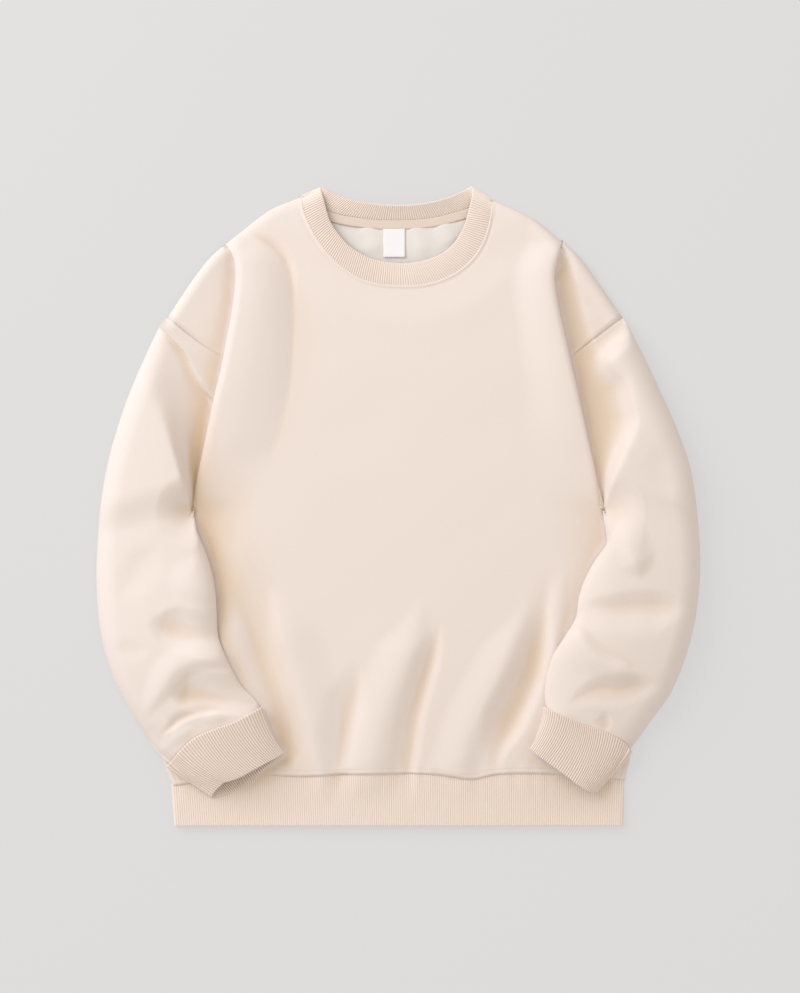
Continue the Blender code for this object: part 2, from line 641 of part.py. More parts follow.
# A cuff's outer rings with ribs on its upper side and its plain inner rings, with places
def cuff_faces(side, last_ring):
    plain = cuff_rings(side, last_ring)
    normals = ring_normals(plain) * side
    top_last = ARM_ROWS - 1
    shares = eased_shares(ARM_ROWS, 0.75)
    even = np.linspace(0.0, 1.0, 2 * CUFF_RIBS + 1)
    ribbed = np.interp(even, shares, np.arange(ARM_ROWS))
    below = np.arange(top_last + 1, plain.shape[1])
    places = np.concatenate((ribbed, below))
    wave = np.concatenate((rib_wave(len(ribbed)), np.zeros(len(below))))
    wave[:2] = 0
    wave[len(ribbed) - 2:] = 0
    outer = []
    inner = []
    for ring, normal in zip(plain, normals):
        raised = ring_at(normal, places) * wave[:, None] * RIB_RAISED
        outer.append(ring_at(ring, places) + raised)
        inner.append(ring - normal * RIB_CLOTH)
    return np.array(outer), places, np.array(inner), np.arange(plain.shape[1])


# The hem band: ribs over the top from left to right, then back flat on the floor
def hem_faces(front):
    edge = front[-1]
    ends = (HEM_SIDE[LEFT], HEM_SIDE[RIGHT])
    seam_ends = (edge[0, 0] + HEM_END_IN, edge[-1, 0] - HEM_END_IN)
    own = edge[(edge[:, 0] > ends[0] + HEM_RIB_FADE) & (edge[:, 0] < ends[1] - HEM_RIB_FADE), 0]
    outer = []
    inner = []
    for v in (0.0, 1.0):
        left = blend(seam_ends[0], ends[0], v)
        right = blend(seam_ends[1], ends[1], v)
        left_y = blend(edge[0, 1] - HEM_GAP, HEM_EDGE_Y, v)
        right_y = blend(edge[-1, 1] - HEM_GAP, HEM_EDGE_Y, v)
        first_x = left + HEM_HALF_DEPTH
        last_x = right - HEM_HALF_DEPTH
        for rings, inset in ((outer, 0.0), (inner, RIB_CLOTH)):
            x = np.linspace(first_x, last_x, 2 * HEM_RIBS + 1)
            if inset > 0.0:
                x = np.concatenate(((first_x,), own, (last_x,)))
            seam_y = np.interp(x, edge[:, 0], edge[:, 1]) - HEM_GAP
            seam_z = np.maximum(np.interp(x, edge[:, 0], edge[:, 2]) + HEM_OVER_SEAM, HEM_TOP_Z)
            edge_z = HEM_TOP_Z + HEM_BULGE * np.sin(math.pi * (x - left) / (right - left))
            y = blend(seam_y, HEM_EDGE_Y, v)
            z = blend(seam_z, edge_z, v) - inset
            if inset == 0.0:
                fade = smooth((x - first_x) / HEM_RIB_FADE) * smooth((last_x - x) / HEM_RIB_FADE)
                z = z + rib_wave(len(x)) * RIB_RAISED * fade
            half = HEM_HALF_DEPTH - inset
            nose = half * math.sqrt(0.5)
            high = HEM_HALF_DEPTH + nose
            low = HEM_HALF_DEPTH - nose
            right_side = np.array((
                (last_x + nose, right_y, high), (last_x + half, right_y, HEM_HALF_DEPTH),
                (last_x + nose, right_y, low),
            ))
            left_side = np.array((
                (first_x - nose, left_y, low), (first_x - half, left_y, HEM_HALF_DEPTH),
                (first_x - nose, left_y, high),
            ))
            under_x = np.linspace(last_x, first_x, HEM_UNDER_POINTS)
            under_y = np.interp(under_x, (left, right), (left_y, right_y))
            under = np.column_stack((under_x, under_y, np.full(HEM_UNDER_POINTS, inset)))
            upper = np.column_stack((x, y, z))
            rings.append(np.concatenate((upper, right_side, under, left_side)))
    return np.array(outer), hem_places(outer[0]), np.array(inner), hem_places(inner[0])


# Places round a hem ring: the top from 0 to 10, then its right side, underside and left side
def hem_places(ring):
    count = len(ring) - HEM_UNDER_POINTS - 6
    top = np.linspace(0, 10, count)
    under = np.linspace(12, 22, HEM_UNDER_POINTS)
    return np.concatenate((top, (10.5, 11, 11.5), under, (22.5, 23, 23.5)))


# The collar: ribs on whichever face shows, outer over the front and inner over the back
def collar_faces():
    seam = curve_through(COLLAR_SEAM, closed=True, steps=COLLAR_STEPS)[:-1]
    free = curve_through(COLLAR_FREE, closed=True, steps=COLLAR_STEPS)[:-1]
    middle = np.array([blend(seam, free, v) for v in (0.0, 0.5, 1.0)])
    normals = ring_normals(middle)
    turn = COLLAR_FRONT_SPANS * COLLAR_STEPS
    total = len(seam)
    mid = np.concatenate((middle[1], middle[1][:1]))
    steps = np.linalg.norm(np.diff(mid, axis=0), axis=1)
    travelled = np.concatenate(([0.0], np.cumsum(steps)))

    def spaced(first, last, count):
        along = np.linspace(travelled[first], travelled[last], count + 1)[:-1]
        return np.interp(along, travelled, np.arange(total + 1))

    ribs_front = spaced(0, turn, 2 * COLLAR_FRONT_RIBS)
    ribs_back = spaced(turn, total, 2 * COLLAR_BACK_RIBS)
    plain_front = spaced(0, turn, COLLAR_PLAIN_FRONT)
    plain_back = spaced(turn, total, COLLAR_PLAIN_BACK)
    outer_places = np.concatenate((ribs_front, plain_back))
    inner_places = np.concatenate((plain_front, ribs_back))
    fade_front = rib_wave(len(ribs_front)) * rib_fade(len(ribs_front))
    fade_back = rib_wave(len(ribs_back)) * rib_fade(len(ribs_back))
    outer_wave = np.concatenate((fade_front, np.zeros(len(plain_back))))
    inner_wave = np.concatenate((np.zeros(len(plain_front)), fade_back))
    outer = []
    inner = []
    for ring, normal in zip(middle, normals):
        half = RIB_CLOTH / 2
        out = ring_at(normal, outer_places) * (half + outer_wave * RIB_RAISED)[:, None]
        back = ring_at(normal, inner_places) * (half + inner_wave * RIB_RAISED)[:, None]
        outer.append(ring_at(ring, outer_places) + out)
        inner.append(ring_at(ring, inner_places) - back)
    return np.array(outer), outer_places, np.array(inner), inner_places


# Ribs die away over the last few points at each end of their run
def rib_fade(count):
    at = np.arange(count)
    return smooth(at / 10.0) * smooth((count - 1 - at) / 10.0)


# The back neck seam, from the left shoulder to the right
def back_neck():
    marks = [mark[:2] for mark in COLLAR_SEAM[COLLAR_FRONT_SPANS + 1:]][::-1]
    return curve_through(marks)


# A line moved down its own normal
def moved_down(line, distance):
    run = np.gradient(line, axis=0)
    run /= np.linalg.norm(run, axis=1)[:, None]
    return line + np.stack((run[:, 1], -run[:, 0]), axis=1) * distance


def back_outline():
    left = side_seam(LEFT)[::-1]
    right = side_seam(RIGHT)
    neck = at_shares(back_neck(), np.linspace(0, 1, BACK_NECK_POINTS))
    neck = moved_down(neck, BACK_NECK_DROP)
    shoulders = {}
    for side in (LEFT, RIGHT):
        edge = curve_through(SHOULDER_EDGE[side] + YOKE_EDGE[side][1:])
        shoulders[side] = at_shares(edge, np.linspace(0, 1, BACK_SHOULDER_POINTS))
    return np.concatenate((left, shoulders[LEFT][1:], neck, shoulders[RIGHT][::-1][:-1], right))


def tape_points():
    line = at_shares(back_neck(), np.linspace(*TAPE_ENDS, TAPE_POINTS))
    upper = moved_down(line, TAPE_DROP)
    lower = moved_down(line, TAPE_DROP + TAPE_WIDTH)
    z = np.full(len(line), FLEECE + SEAM_GAP + TAPE_THICK)
    return np.array((np.column_stack((upper, z)), np.column_stack((lower, z))))


def label_points():
    line = moved_down(back_neck(), TAPE_DROP + TAPE_WIDTH + SEAM_GAP)
    top = np.interp(LABEL_X, line[:, 0], line[:, 1]) - LABEL_DROP
    z = FLEECE + SEAM_GAP + LABEL_THICK
    left = LABEL_X - LABEL_WIDTH / 2
    right = LABEL_X + LABEL_WIDTH / 2
    bottom = top - LABEL_HEIGHT
    return np.array((((left, top, z), (right, top, z)), ((left, bottom, z), (right, bottom, z))))


def new_object(bm, name, material, collection):
    mesh = bpy.data.meshes.new(name)
    bm.to_mesh(mesh)
    bm.free()
    mesh.shade_smooth()
    mesh.set_sharp_from_angle(angle=math.radians(50))
    mesh.materials.append(material)
    obj = bpy.data.objects.new(name, mesh)
    collection.objects.link(obj)
    return obj


def add_wall(obj, thickness):
    wall = obj.modifiers.new("Wall", "SOLIDIFY")
    wall.thickness = thickness * MM
    wall.offset = -1.0


# A grid of vertices set to rows of points, the first row at the grid's far side
def grid_mesh(points):
    rows, columns = points.shape[:2]
    bm = bmesh.new()
    bmesh.ops.create_grid(bm, x_segments=columns - 1, y_segments=rows - 1, size=1.0)
    for vert, point in zip(bm.verts, points[::-1].reshape(-1, 3)):
        vert.co = point * MM
    return bm


# A sheet of cloth from rows of points, top row first, facing up
def make_sheet(points, name, material, collection, thickness):
    obj = new_object(grid_mesh(points), name, material, collection)
    add_wall(obj, thickness)


# A tube of cloth from closed rings of points, facing out
def make_tube(rings, name, material, collection, thickness):
    closed = np.concatenate((rings, rings[:, :1]), axis=1)
    bm = grid_mesh(closed)
    bmesh.ops.remove_doubles(bm, verts=bm.verts, dist=1e-6)
    obj = new_object(bm, name, material, collection)
    add_wall(obj, thickness)


# Faces between two closed loops with unlike counts, matched by their places round the ring
def stitch(bm, first, first_places, second, second_places):
    a = 0
    b = 0
    while a < len(first) or b < len(second):
        next_a = first_places[a + 1] if a + 1 < len(first) else first_places[0] + 1e3
        next_b = second_places[b + 1] if b + 1 < len(second) else second_places[0] + 1e3
        here_a = first[a % len(first)]
        here_b = second[b % len(second)]
        step_a = b >= len(second) or (a < len(first) and next_a <= next_b)
        if step_a:
            bm.faces.new((here_a, first[(a + 1) % len(first)], here_b))
            a += 1
        else:
            bm.faces.new((here_a, second[(b + 1) % len(second)], here_b))
            b += 1


# A ribbed band: outer and inner rings with unlike counts, closed by a rim at each end
def make_band(faces, name, material, collection):
    outer, outer_places, inner, inner_places = faces
    bm = bmesh.new()
    loops = []
    for rings in (outer, inner):
        verts = [[bm.verts.new(point * MM) for point in ring] for ring in rings]
        for near, far in zip(verts[:-1], verts[1:]):
            count = len(near)
            for i in range(count):
                after = (i + 1) % count
                bm.faces.new((near[i], near[after], far[after], far[i]))
        loops.append(verts)
    for end in (0, -1):
        stitch(bm, loops[0][end], outer_places, loops[1][end], inner_places)
    bmesh.ops.recalc_face_normals(bm, faces=bm.faces)
    new_object(bm, name, material, collection)


# A flat piece of cloth from its outline, lying on the floor
def make_flat(outline, name, material, collection, thickness):
    curve = bpy.data.curves.new(name, "CURVE")
    curve.dimensions = "2D"
    curve.fill_mode = "BOTH"
    curve.extrude = thickness * MM / 2
    spline = curve.splines.new("POLY")
    spline.points.add(len(outline) - 1)
    for point, (x, y) in zip(spline.points, outline):
        point.co = (x * MM, y * MM, 0.0, 1.0)
    spline.use_cyclic_u = True
    curve.materials.append(material)
    obj = bpy.data.objects.new(name, curve)
    obj.location.z = thickness * MM / 2
    collection.objects.link(obj)


def make_material(name, colour):
    mat = bpy.data.materials.new(name)
    mat.use_nodes = True
    shader = mat.node_tree.nodes["Principled BSDF"]
    shader.inputs["Base Color"].default_value = colour
    shader.inputs["Roughness"].default_value = CLOTH_ROUGHNESS
    shader.inputs["Metallic"].default_value = 0.0
    mat.diffuse_color = colour
    return mat


def main():
    for obj in list(bpy.data.objects):
        bpy.data.objects.remove(obj, do_unlink=True)
    parts = bpy.data.collections.new(NAME)
    bpy.context.scene.collection.children.link(parts)
    fleece = make_material("fleece", FLEECE_COLOUR)
    inside = make_material("fleece_inside", INSIDE_COLOUR)
    rib = make_material("rib", RIB_COLOUR)
    tape = make_material("tape", TAPE_COLOUR)
    white = make_material("label", LABEL_COLOUR)
    front = front_points()
    make_flat(back_outline(), "back_panel", inside, parts, FLEECE)
    make_sheet(front, "front_panel", fleece, parts, FLEECE)
    for side, arm in ((LEFT, "right"), (RIGHT, "left")):
        rings = sleeve_rings(side)
        last = rings[-1]
        if side == RIGHT:
            rings = rings[:, ::-1]
        make_tube(rings, "sleeve_" + arm, fleece, parts, FLEECE)
        make_band(cuff_faces(side, last), "cuff_" + arm, rib, parts)
    make_band(hem_faces(front), "hem_band", rib, parts)
    make_band(collar_faces(), "collar", rib, parts)
    make_sheet(tape_points(), "neck_tape", tape, parts, TAPE_THICK)
    make_sheet(label_points(), "neck_label", white, parts, LABEL_THICK)


if __name__ == "__main__":
    main()
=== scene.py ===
import math

import bmesh
import bpy
import numpy as np
from mathutils import Matrix, Vector
from mathutils.bvhtree import BVHTree


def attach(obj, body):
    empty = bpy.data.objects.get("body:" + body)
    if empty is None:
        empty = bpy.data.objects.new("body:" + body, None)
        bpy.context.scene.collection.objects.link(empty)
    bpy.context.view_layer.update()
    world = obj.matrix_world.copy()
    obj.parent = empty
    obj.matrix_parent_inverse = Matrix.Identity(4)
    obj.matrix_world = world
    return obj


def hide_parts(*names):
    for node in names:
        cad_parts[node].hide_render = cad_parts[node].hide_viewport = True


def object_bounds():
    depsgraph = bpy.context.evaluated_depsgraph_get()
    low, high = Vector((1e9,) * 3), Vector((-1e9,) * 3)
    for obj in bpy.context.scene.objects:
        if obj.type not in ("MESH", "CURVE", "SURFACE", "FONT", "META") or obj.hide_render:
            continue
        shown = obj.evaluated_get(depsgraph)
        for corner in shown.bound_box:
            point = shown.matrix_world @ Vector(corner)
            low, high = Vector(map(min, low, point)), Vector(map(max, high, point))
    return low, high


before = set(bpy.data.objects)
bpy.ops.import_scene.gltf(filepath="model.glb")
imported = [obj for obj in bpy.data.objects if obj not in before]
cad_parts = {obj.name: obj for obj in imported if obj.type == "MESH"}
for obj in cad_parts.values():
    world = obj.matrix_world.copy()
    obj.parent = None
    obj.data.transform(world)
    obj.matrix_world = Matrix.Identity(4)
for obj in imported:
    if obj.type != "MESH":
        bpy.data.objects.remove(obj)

cadBox = [list(corner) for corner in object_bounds()]
mm = 0.001  # every size below is in millimetres
tiny = 1e-6  # keeps a divisor off zero
armRight, armLeft = -1, 1  # the wearer's arms: the right one lies at -X
arms = {armRight: "right", armLeft: "left"}


# Small sums that every piece uses
def ease(t):
    t = np.clip(t, 0.0, 1.0)
    return t * t * (3.0 - 2.0 * t)


def domed(t):
    return np.sqrt(1.0 - (1.0 - np.clip(t, 0.0, 1.0)) ** 2)


def mix(a, b, share):
    return a + (b - a) * share


def easedShares(count, amount):
    even = np.linspace(0.0, 1.0, count)
    return mix(even, 0.5 - 0.5 * np.cos(math.pi * even), amount)


def curveThrough(marks, closed=False, steps=16):
    # a smooth curve through marks, as steps points for each span
    marks = np.array(marks, dtype=float)
    count = len(marks)
    points = []
    for i in range(count if closed else count - 1):
        here, there = marks[i], marks[(i + 1) % count]
        before = marks[i - 1] if closed or i > 0 else here
        after = marks[(i + 2) % count] if closed or i + 2 < count else there
        span = np.linalg.norm(there - here)
        leave = (there - before) / (np.linalg.norm(here - before) + span) * span
        arrive = (after - here) / (np.linalg.norm(after - there) + span) * span
        for t in np.arange(steps) / steps:
            points.append(
                (2 * t**3 - 3 * t**2 + 1) * here + (t**3 - 2 * t**2 + t) * leave
                + (3 * t**2 - 2 * t**3) * there + (t**3 - t**2) * arrive
            )
    points.append(marks[0] if closed else marks[-1])
    return np.array(points)


def travelled(line):
    steps = np.linalg.norm(np.diff(line, axis=0), axis=1)
    return np.concatenate(([0.0], np.cumsum(steps)))


def readLine(line, at, wanted):
    # a polyline's points where the measure at has the wanted values
    return np.stack([np.interp(wanted, at, line[:, k]) for k in range(line.shape[1])], axis=-1)


def atShares(line, shares):
    length = travelled(line)
    return readLine(line, length, np.asarray(shares) * length[-1])


def toCurve(path, x, y):
    # how far points lie to the left of a path, as walked, and how far along it
    best = np.full(np.shape(x), 1e9)
    offset, share = np.zeros(np.shape(x)), np.zeros(np.shape(x))
    for i, (a, b) in enumerate(zip(path[:-1], path[1:])):
        step = b - a
        held = np.clip(((x - a[0]) * step[0] + (y - a[1]) * step[1]) / step.dot(step), 0.0, 1.0)
        gapX, gapY = x - a[0] - held * step[0], y - a[1] - held * step[1]
        gap = np.hypot(gapX, gapY)
        nearer = gap < best
        offset = np.where(nearer, np.where(step[0] * gapY - step[1] * gapX > 0, gap, -gap), offset)
        share = np.where(nearer, (i + held) / (len(path) - 1), share)
        best = np.where(nearer, gap, best)
    return offset, share


def toMarks(marks, x, y, steps=6):
    # the same for the smooth curve through marks
    return toCurve(curveThrough(marks, steps=steps), x, y)


def unit(rows):
    return rows / np.linalg.norm(rows, axis=-1, keepdims=True)


def movedAside(line, distance):
    # a line moved to its right, as walked
    run = unit(np.gradient(line, axis=0))
    return line + np.stack((run[:, 1], -run[:, 0]), axis=1) * distance


def ownBend(line, at):
    # how far a line's points lie off the straight line between its ends
    return line - mix(line[0], line[-1], at[:, None])


def foldRise(folds, x, y):
    thin = 0.35  # the share of its reach that a fold keeps where it fades out
    total = np.zeros(np.shape(x))
    for marks, left, right, crispLeft, crispRight, rise, fadeIn, fadeOut in folds:
        offset, share = toMarks(marks, x, y)
        strength = ease(share / fadeIn) * ease((1.0 - share) / fadeOut)
        reach = np.where(offset > 0, left, right) * mix(thin, 1.0, strength)
        away = np.clip(1.0 - np.abs(offset) / reach, 0.0, 1.0)
        crisp = np.where(offset > 0, crispLeft, crispRight)
        sharp = np.where(crisp > 0, away**2, 1.0 - (1.0 - away) ** 2)
        profile = mix(ease(away), sharp, np.abs(crisp))
        total = total + rise * profile * strength
    return total


# The body as it lies: sections from the shoulder down to the hem seam
body = {
    # reachRight is only there to space the curve through the sections
    "columns": ("y", "rightX", "leftX", "tuck", "crest", "roll", "centre", "reachRight", "reachLeft"),
    "sections": (
        (291, -191.5, 179.6, 1.5, 11, 16, 9.5, 32, 40),
        (271, -180.5, 174.4, 1.5, 16.5, 23.5, 11, 53, 46),
        (253, -178.8, 171.2, 1.5, 18, 25.5, 12.5, 59, 48),
        (225, -181.2, 174.6, 1.5, 18.5, 27, 13.5, 64, 50),
        (178, -189.5, 184.8, 1.5, 18.5, 27, 14, 70, 54),
        (148, -195.5, 191.6, 1.5, 18.5, 26.5, 14.5, 76, 58),
        (117, -203, 198.8, 1.5, 18, 25, 14.5, 79, 62),
        (76, -211.5, 207.6, 1.6, 16.5, 22, 14.5, 79, 70),
        (35, -220.5, 217.2, 2.4, 12.5, 17, 15, 80, 70),
        (13, -224.3, 221.9, 2.4, 9.6, 13.5, 15, 82, 75),
        (-3, -226.5, 225.5, 1.8, 7.4, 10, 15, 72, 72),
        (-22, -233, 233, -6, 7, 9, 15, 66, 66),
        (-80, -239, 237, -7, 7, 9, 15, 62, 60),
        (-160, -246, 242, -7, 6.6, 8.5, 15, 62, 60),
        (-230, -251, 246, -7, 6.6, 8.5, 13.5, 66, 66),
        (-272, -253.5, 248, -7, 6.6, 8.5, 11.5, 70, 70),
        (-304, -242.5, 241, -7, 6.6, 8, 9.5, 70, 70),
    ),
    "turnY": 163,  # where the armhole seam goes under the side roll
    "armpitY": -3,
    "rollIn": {armRight: 10, armLeft: 7},
    "rollShare": {armRight: 1, armLeft: 0.62},  # how much of its roll each side keeps
    "undercut": 4,
    # where the right roll has died out into the front
    "rollFar": (
        (-181, 305), (-176.6, 299.8), (-150.2, 293.2), (-132.6, 280), (-121.6, 262.4), (-116.1, 238.2),
        (-116.1, 194.2), (-118.3, 150.2), (-122.7, 117.2), (-130.4, 84.2), (-137, 62), (-146, 30),
        (-153, -3), (-172, -80), (-182, -160), (-185, -230), (-183, -272), (-172, -304), (-170, -330),
    ),
    "rollFlat": 0.1,  # the share of the way to there that keeps its height
    "rollPower": 1.9,
    "steepFrom": 20,
    "steepOver": 60,
    "edgeZ": 3.1,
    "edgeRise": ((-7, -6.8, -5.5, -3, 0), (3.1, 4.6, 5.2, 5.9, 6.6)),  # heights outside the roll line
    "footZ": 4.8,
    "cloth": 2,
    "seamGap": 0.1,
    "seamGapEnds": 0.4,
    "shoulderRound": 12,
    "shoulder": {
        armRight: ((-254, 208), (-228, 247), (-208, 273), (-190, 288.6)),
        armLeft: ((246, 208), (219, 247), (200, 273), (179.6, 291)),
    },
    "yoke": {
        armRight: ((-190, 288.6), (-178, 298), (-141, 326), (-109, 339.5)),
        armLeft: ((179.6, 291), (146, 317), (105.5, 336)),
    },
    "armholeBow": {armRight: 3.5, armLeft: 0},
    "turnIn": 1.5,
    "undercutLeast": 0.3,
    "undercutOver": 40,
    "tuckShut": -6,  # the tuck at which the side strip is shut, and the one at which it is open
    "tuckOpen": 1.5,
    "wallPower": 0.9,
    "shutPower": 1.3,
    "lip": {"rise": 0.4, "reach": 5.2, "soft": 1.4, "over": 8},
    "neckTop": 10.4,
    "neckDrop": 5.2,
    "neckPower": 7,
    "neckFade": 45,
    "neckRidges": ((0.8, 1.5, 1.4), (-0.35, 4.6, 1.6)),  # rise, distance from the seam, width
    # close above the hem the folds are calmer, and the loose waves die out
    "calmY": -312,
    "calmest": 0.55,
    "calmFolds": 40,
    "calmWaves": 30,
    "neck": (
        (-106, 341), (-103.5, 325), (-93.5, 302), (-78.5, 280), (-58, 260.5),
        (-33, 247.5), (0, 243), (31, 245), (57, 254), (78, 269.5),
        (92, 290), (99.5, 314), (102.5, 336.5),
    ),
    "hem": (
        (-249.5, -307.5), (-222, -303), (-162, -294.5), (-109, -296.5), (-60, -294.5), (0, -293.5),
        (36, -294), (80, -299.5), (110, -294), (176, -294), (232, -298.5), (248, -301),
    ),
    # each fold: its marks, walked down the cloth; its reach to the left and to the right of them,
    # as walked; how crisp its crest is on each side, or below 0 its foot; its rise; and the shares
    # of its length that fade in and out
    "folds": (
        (((-214, -60), (-206, -100), (-197, -145), (-184, -178), (-160, -212), (-146, -240), (-134, -275)),
         48, 40, -0.2, 0, 6.6, 0.35, 0.3),
        (((-176, -96), (-163, -130), (-150, -170), (-136, -212), (-124, -252), (-115, -290)),
         16, 26, 0.1, 0, -3.6, 0.4, 0.1),
        (((-140, -80), (-130, -120), (-118, -163), (-104, -213), (-92, -251), (-80, -300)),
         44, 24, 0, 0, 5.4, 0.35, 0.02),
        (((-45, -163), (-50, -213), (-61, -262), (-68, -310)), 20, 38, 0.2, 0, -4.2, 0.4, 0.02),
        (((29, -96), (15, -147), (2, -178), (-12, -213), (-23, -251), (-33, -310)),
         30, 38, -0.2, 0, 6.2, 0.35, 0.02),
        (((47, -122), (39, -160), (28, -199), (18, -240), (9, -305)), 12, 26, 0.3, 0, -4.4, 0.35, 0.02),
        (((147, -100), (130, -147), (112, -182), (94, -213), (76, -251), (62, -300)),
         26, 36, 0, 0, 5, 0.35, 0.02),
        (((165.5, -60), (160, -112), (155.5, -147), (149, -178), (138, -207), (124, -237), (111, -265),
          (102, -300)),
         17, 38, -0.3, 0, -8.6, 0.4, 0.3),
        (((183, -62), (176, -100), (171, -140), (163, -180), (150, -215)),
         14, 14, 0, 0, 2.2, 0.35, 0.35),
        (((-222, 30), (-214, 0), (-205, -30), (-196, -58)), 9, 16, 0.5, 0, -2.4, 0.3, 0.4),
        (((-176, 300), (-150, 294), (-133, 281), (-122, 263), (-116.5, 238), (-116, 205)),
         10, 28, 0, 0, -2.7, 0.45, 0.5),
    ),
    "rows": (40, 46, 96),  # down the yoke, beside the sleeve, and from the armpit to the hem
    "yokePacking": 1.5,
    "seamPacking": 1.2,
    "rollPacking": 1.35,
    "sidePull": 0.26,
    "floorColumns": 17,
    "wallColumns": 9,
    "rollColumns": 38,
    "neckColumns": 122,
    "rollSpan": 98,
}
bodyTable = curveThrough(body["sections"][::-1], steps=20)
yokeRows, armRows, sideRows = body["rows"]
yokeShares = np.linspace(0, 1, yokeRows) ** body["yokePacking"]


def bodyAt(column, y):
    return np.interp(y, bodyTable[:, 0], bodyTable[:, body["columns"].index(column)])


def rollX(side, y):
    return bodyAt("rightX" if side == armRight else "leftX", y)


def pastRoll(side, x, y):
    return side * (x - rollX(side, y))


hemLine = curveThrough(body["hem"], steps=20)


def hemY(x):
    return np.interp(x, hemLine[:, 0], hemLine[:, 1])


def softWaves(x, y):
    # slow unevenness of cloth that lies loose, and small puckers over the hem seam
    slow = 0.35 * np.sin(x / 41.0 + 1.3 * np.sin(y / 67.0)) * np.cos(y / 58.0 + 0.8)
    slow = slow + 0.22 * np.sin(x / 23.0 - y / 31.0) * np.sin(y / 37.0 + 2.0)
    pucker = np.sin(x / 2.9 + 2.2 * np.sin(x / 31.0)) * (0.6 + 0.4 * np.sin(x / 17.0))
    return slow + 0.5 * pucker * np.exp(-((y - hemY(x)) / 9.0) ** 2)


def frontHeight(x, y):
    # the front's outer face away from the shoulders and the neck
    centre, crest, roll = (bodyAt(name, y) for name in ("centre", "crest", "roll"))
    overHem = y - body["calmY"]
    calm = mix(body["calmest"], 1.0, ease(overHem / body["calmFolds"]))
    height = centre + foldRise(body["folds"], x, y) * calm
    height = height + softWaves(x, y) * ease(overHem / body["calmWaves"])
    for side in arms:
        rollIn = body["rollIn"][side]
        inward = -pastRoll(side, x, y)
        sideRoll = mix(np.maximum(height, crest), roll, body["rollShare"][side])
        rising = crest + (sideRoll - crest) * domed(inward / rollIn)
        past = np.maximum(inward - rollIn, 0.0)
        if side == armRight:
            toFar = toMarks(body["rollFar"], x, y, steps=5)[0]
            share = np.where(toFar < 0, past / (past + np.abs(toFar) + tiny), 1.0)
            flat = body["rollFlat"]
            steep = np.clip((share - flat) / (1.0 - flat), 0.0, 1.0) ** body["rollPower"]
            reach = inward + np.where(toFar < 0, np.abs(toFar), -1.0)
        else:
            reach = bodyAt("reachLeft", y)
            share = np.clip(past / (reach - rollIn), 0.0, 1.0)
            steep = ease(share)
        steepShare = ease((y - body["steepFrom"]) / body["steepOver"])
        dying = mix(sideRoll, height, mix(ease(share), steep, steepShare))
        banked = np.where(inward < rollIn, rising, dying)
        edge = np.interp(inward, *body["edgeRise"])
        banked = np.where(inward < 0.0, np.minimum(edge, crest), banked)
        height = np.where(inward < reach, banked, height)
    return height


def rollLine(side):
    top = body["shoulder"][side][-1][1]
    foot = hemY(rollX(side, bodyTable[0, 0]))
    yoke = mix(top, body["turnY"], yokeShares)
    arm = mix(body["turnY"], body["armpitY"], np.linspace(0, 1, armRows + 1)[1:])
    rest = mix(body["armpitY"], foot, np.linspace(0, 1, sideRows + 1)[1:])
    y = np.concatenate((yoke, arm, rest))
    return np.stack((rollX(side, y), y), axis=1)


def sideSeam(side):
    # the armhole seam, then the side seam, row for row with the roll line
    tip = np.array(body["shoulder"][side][0])
    turn = np.array((rollX(side, body["turnY"]) - side * body["turnIn"], body["turnY"]))
    share = (np.linspace(0, 1, yokeRows) ** body["seamPacking"])[:, None]
    across = unit(turn - tip)[::-1] * (-side, side)
    yoke = mix(tip, turn, share) + across * body["armholeBow"][side] * 4 * share * (1 - share)
    below = rollLine(side)[yokeRows:]
    x = below[:, 0] - side * bodyAt("tuck", below[:, 1])
    return np.concatenate((yoke, np.stack((x, below[:, 1]), axis=1)))


shoulderEdges = {
    side: curveThrough(body["shoulder"][side] + body["yoke"][side][1:], steps=8) for side in arms
}
armholes = {side: sideSeam(side)[:yokeRows + armRows] for side in arms}


def shoulderAway(side, x, y):
    return np.abs(toCurve(shoulderEdges[side], x, y)[0])


def shoulderFall(side, x, y):
    # 0 on the shoulder edge, 1 where the cloth lies free of it
    return domed(shoulderAway(side, x, y) / body["shoulderRound"])


# The gully between each side roll and its sleeve: the bank is where the sleeve's cloth falls
# into it, and the crease is the crest of the fold that runs in from the shoulder's tip
gully = {
    armRight: {
        "bank": ((-261, 203), (-272, 172), (-266, 130), (-256, 98), (-251, 80), (-238, 36), (-226, -6)),
        "bankWidth": (10, 16, 12, 5, 2, 1.5, 1),
        "crease": ((-262, 200), (-247, 184), (-231.5, 166.6), (-220.5, 141), (-202, 116)),
        "gap": ((163, 10), (205, 12), (240, 14), (291, 4)),
        "capDrop": 9,
        "gapDrop": 3,
        "hollow": 1.8,
        "brink": 8,
        "tilt": 3,
        "turnUp": 1.2,
    },
    armLeft: {
        "bank": (
            (184, 262), (200, 228), (207, 207), (216, 181), (233, 154), (249, 138), (257, 112),
            (260, 92), (246, 57), (233, 28), (225, -2),
        ),
        "bankWidth": (8, 9, 9, 9, 7, 5, 4, 3, 2, 1.5, 1),
        "crease": None,
        "gap": ((163, 32), (210, 28), (238, 27), (269, 17), (291, 3)),
        "capDrop": 2.5,
        "gapDrop": 7,
        "hollow": 3.6,
        "brink": 4,
        "tilt": 6,
        "turnUp": 5,
    },
    "capPower": 0.9,
    "brinkReach": 30,
    "brinkFades": (0.06, 0.3, 0.15),  # along the bank: where it starts, and how it comes and goes
    "capShare": 0.1,  # the sleeve's first part, which grows out of the cap
    "floorDrop": 0.3,
    "lowFloor": 4,
    "lowFrom": 75,
    "lowOver": 60,
    "endY": -14,
    "endOver": 18,
    "brow": {"rise": 4.2, "reach": 16, "from": 2, "over": 14, "soft": 3.5},
}


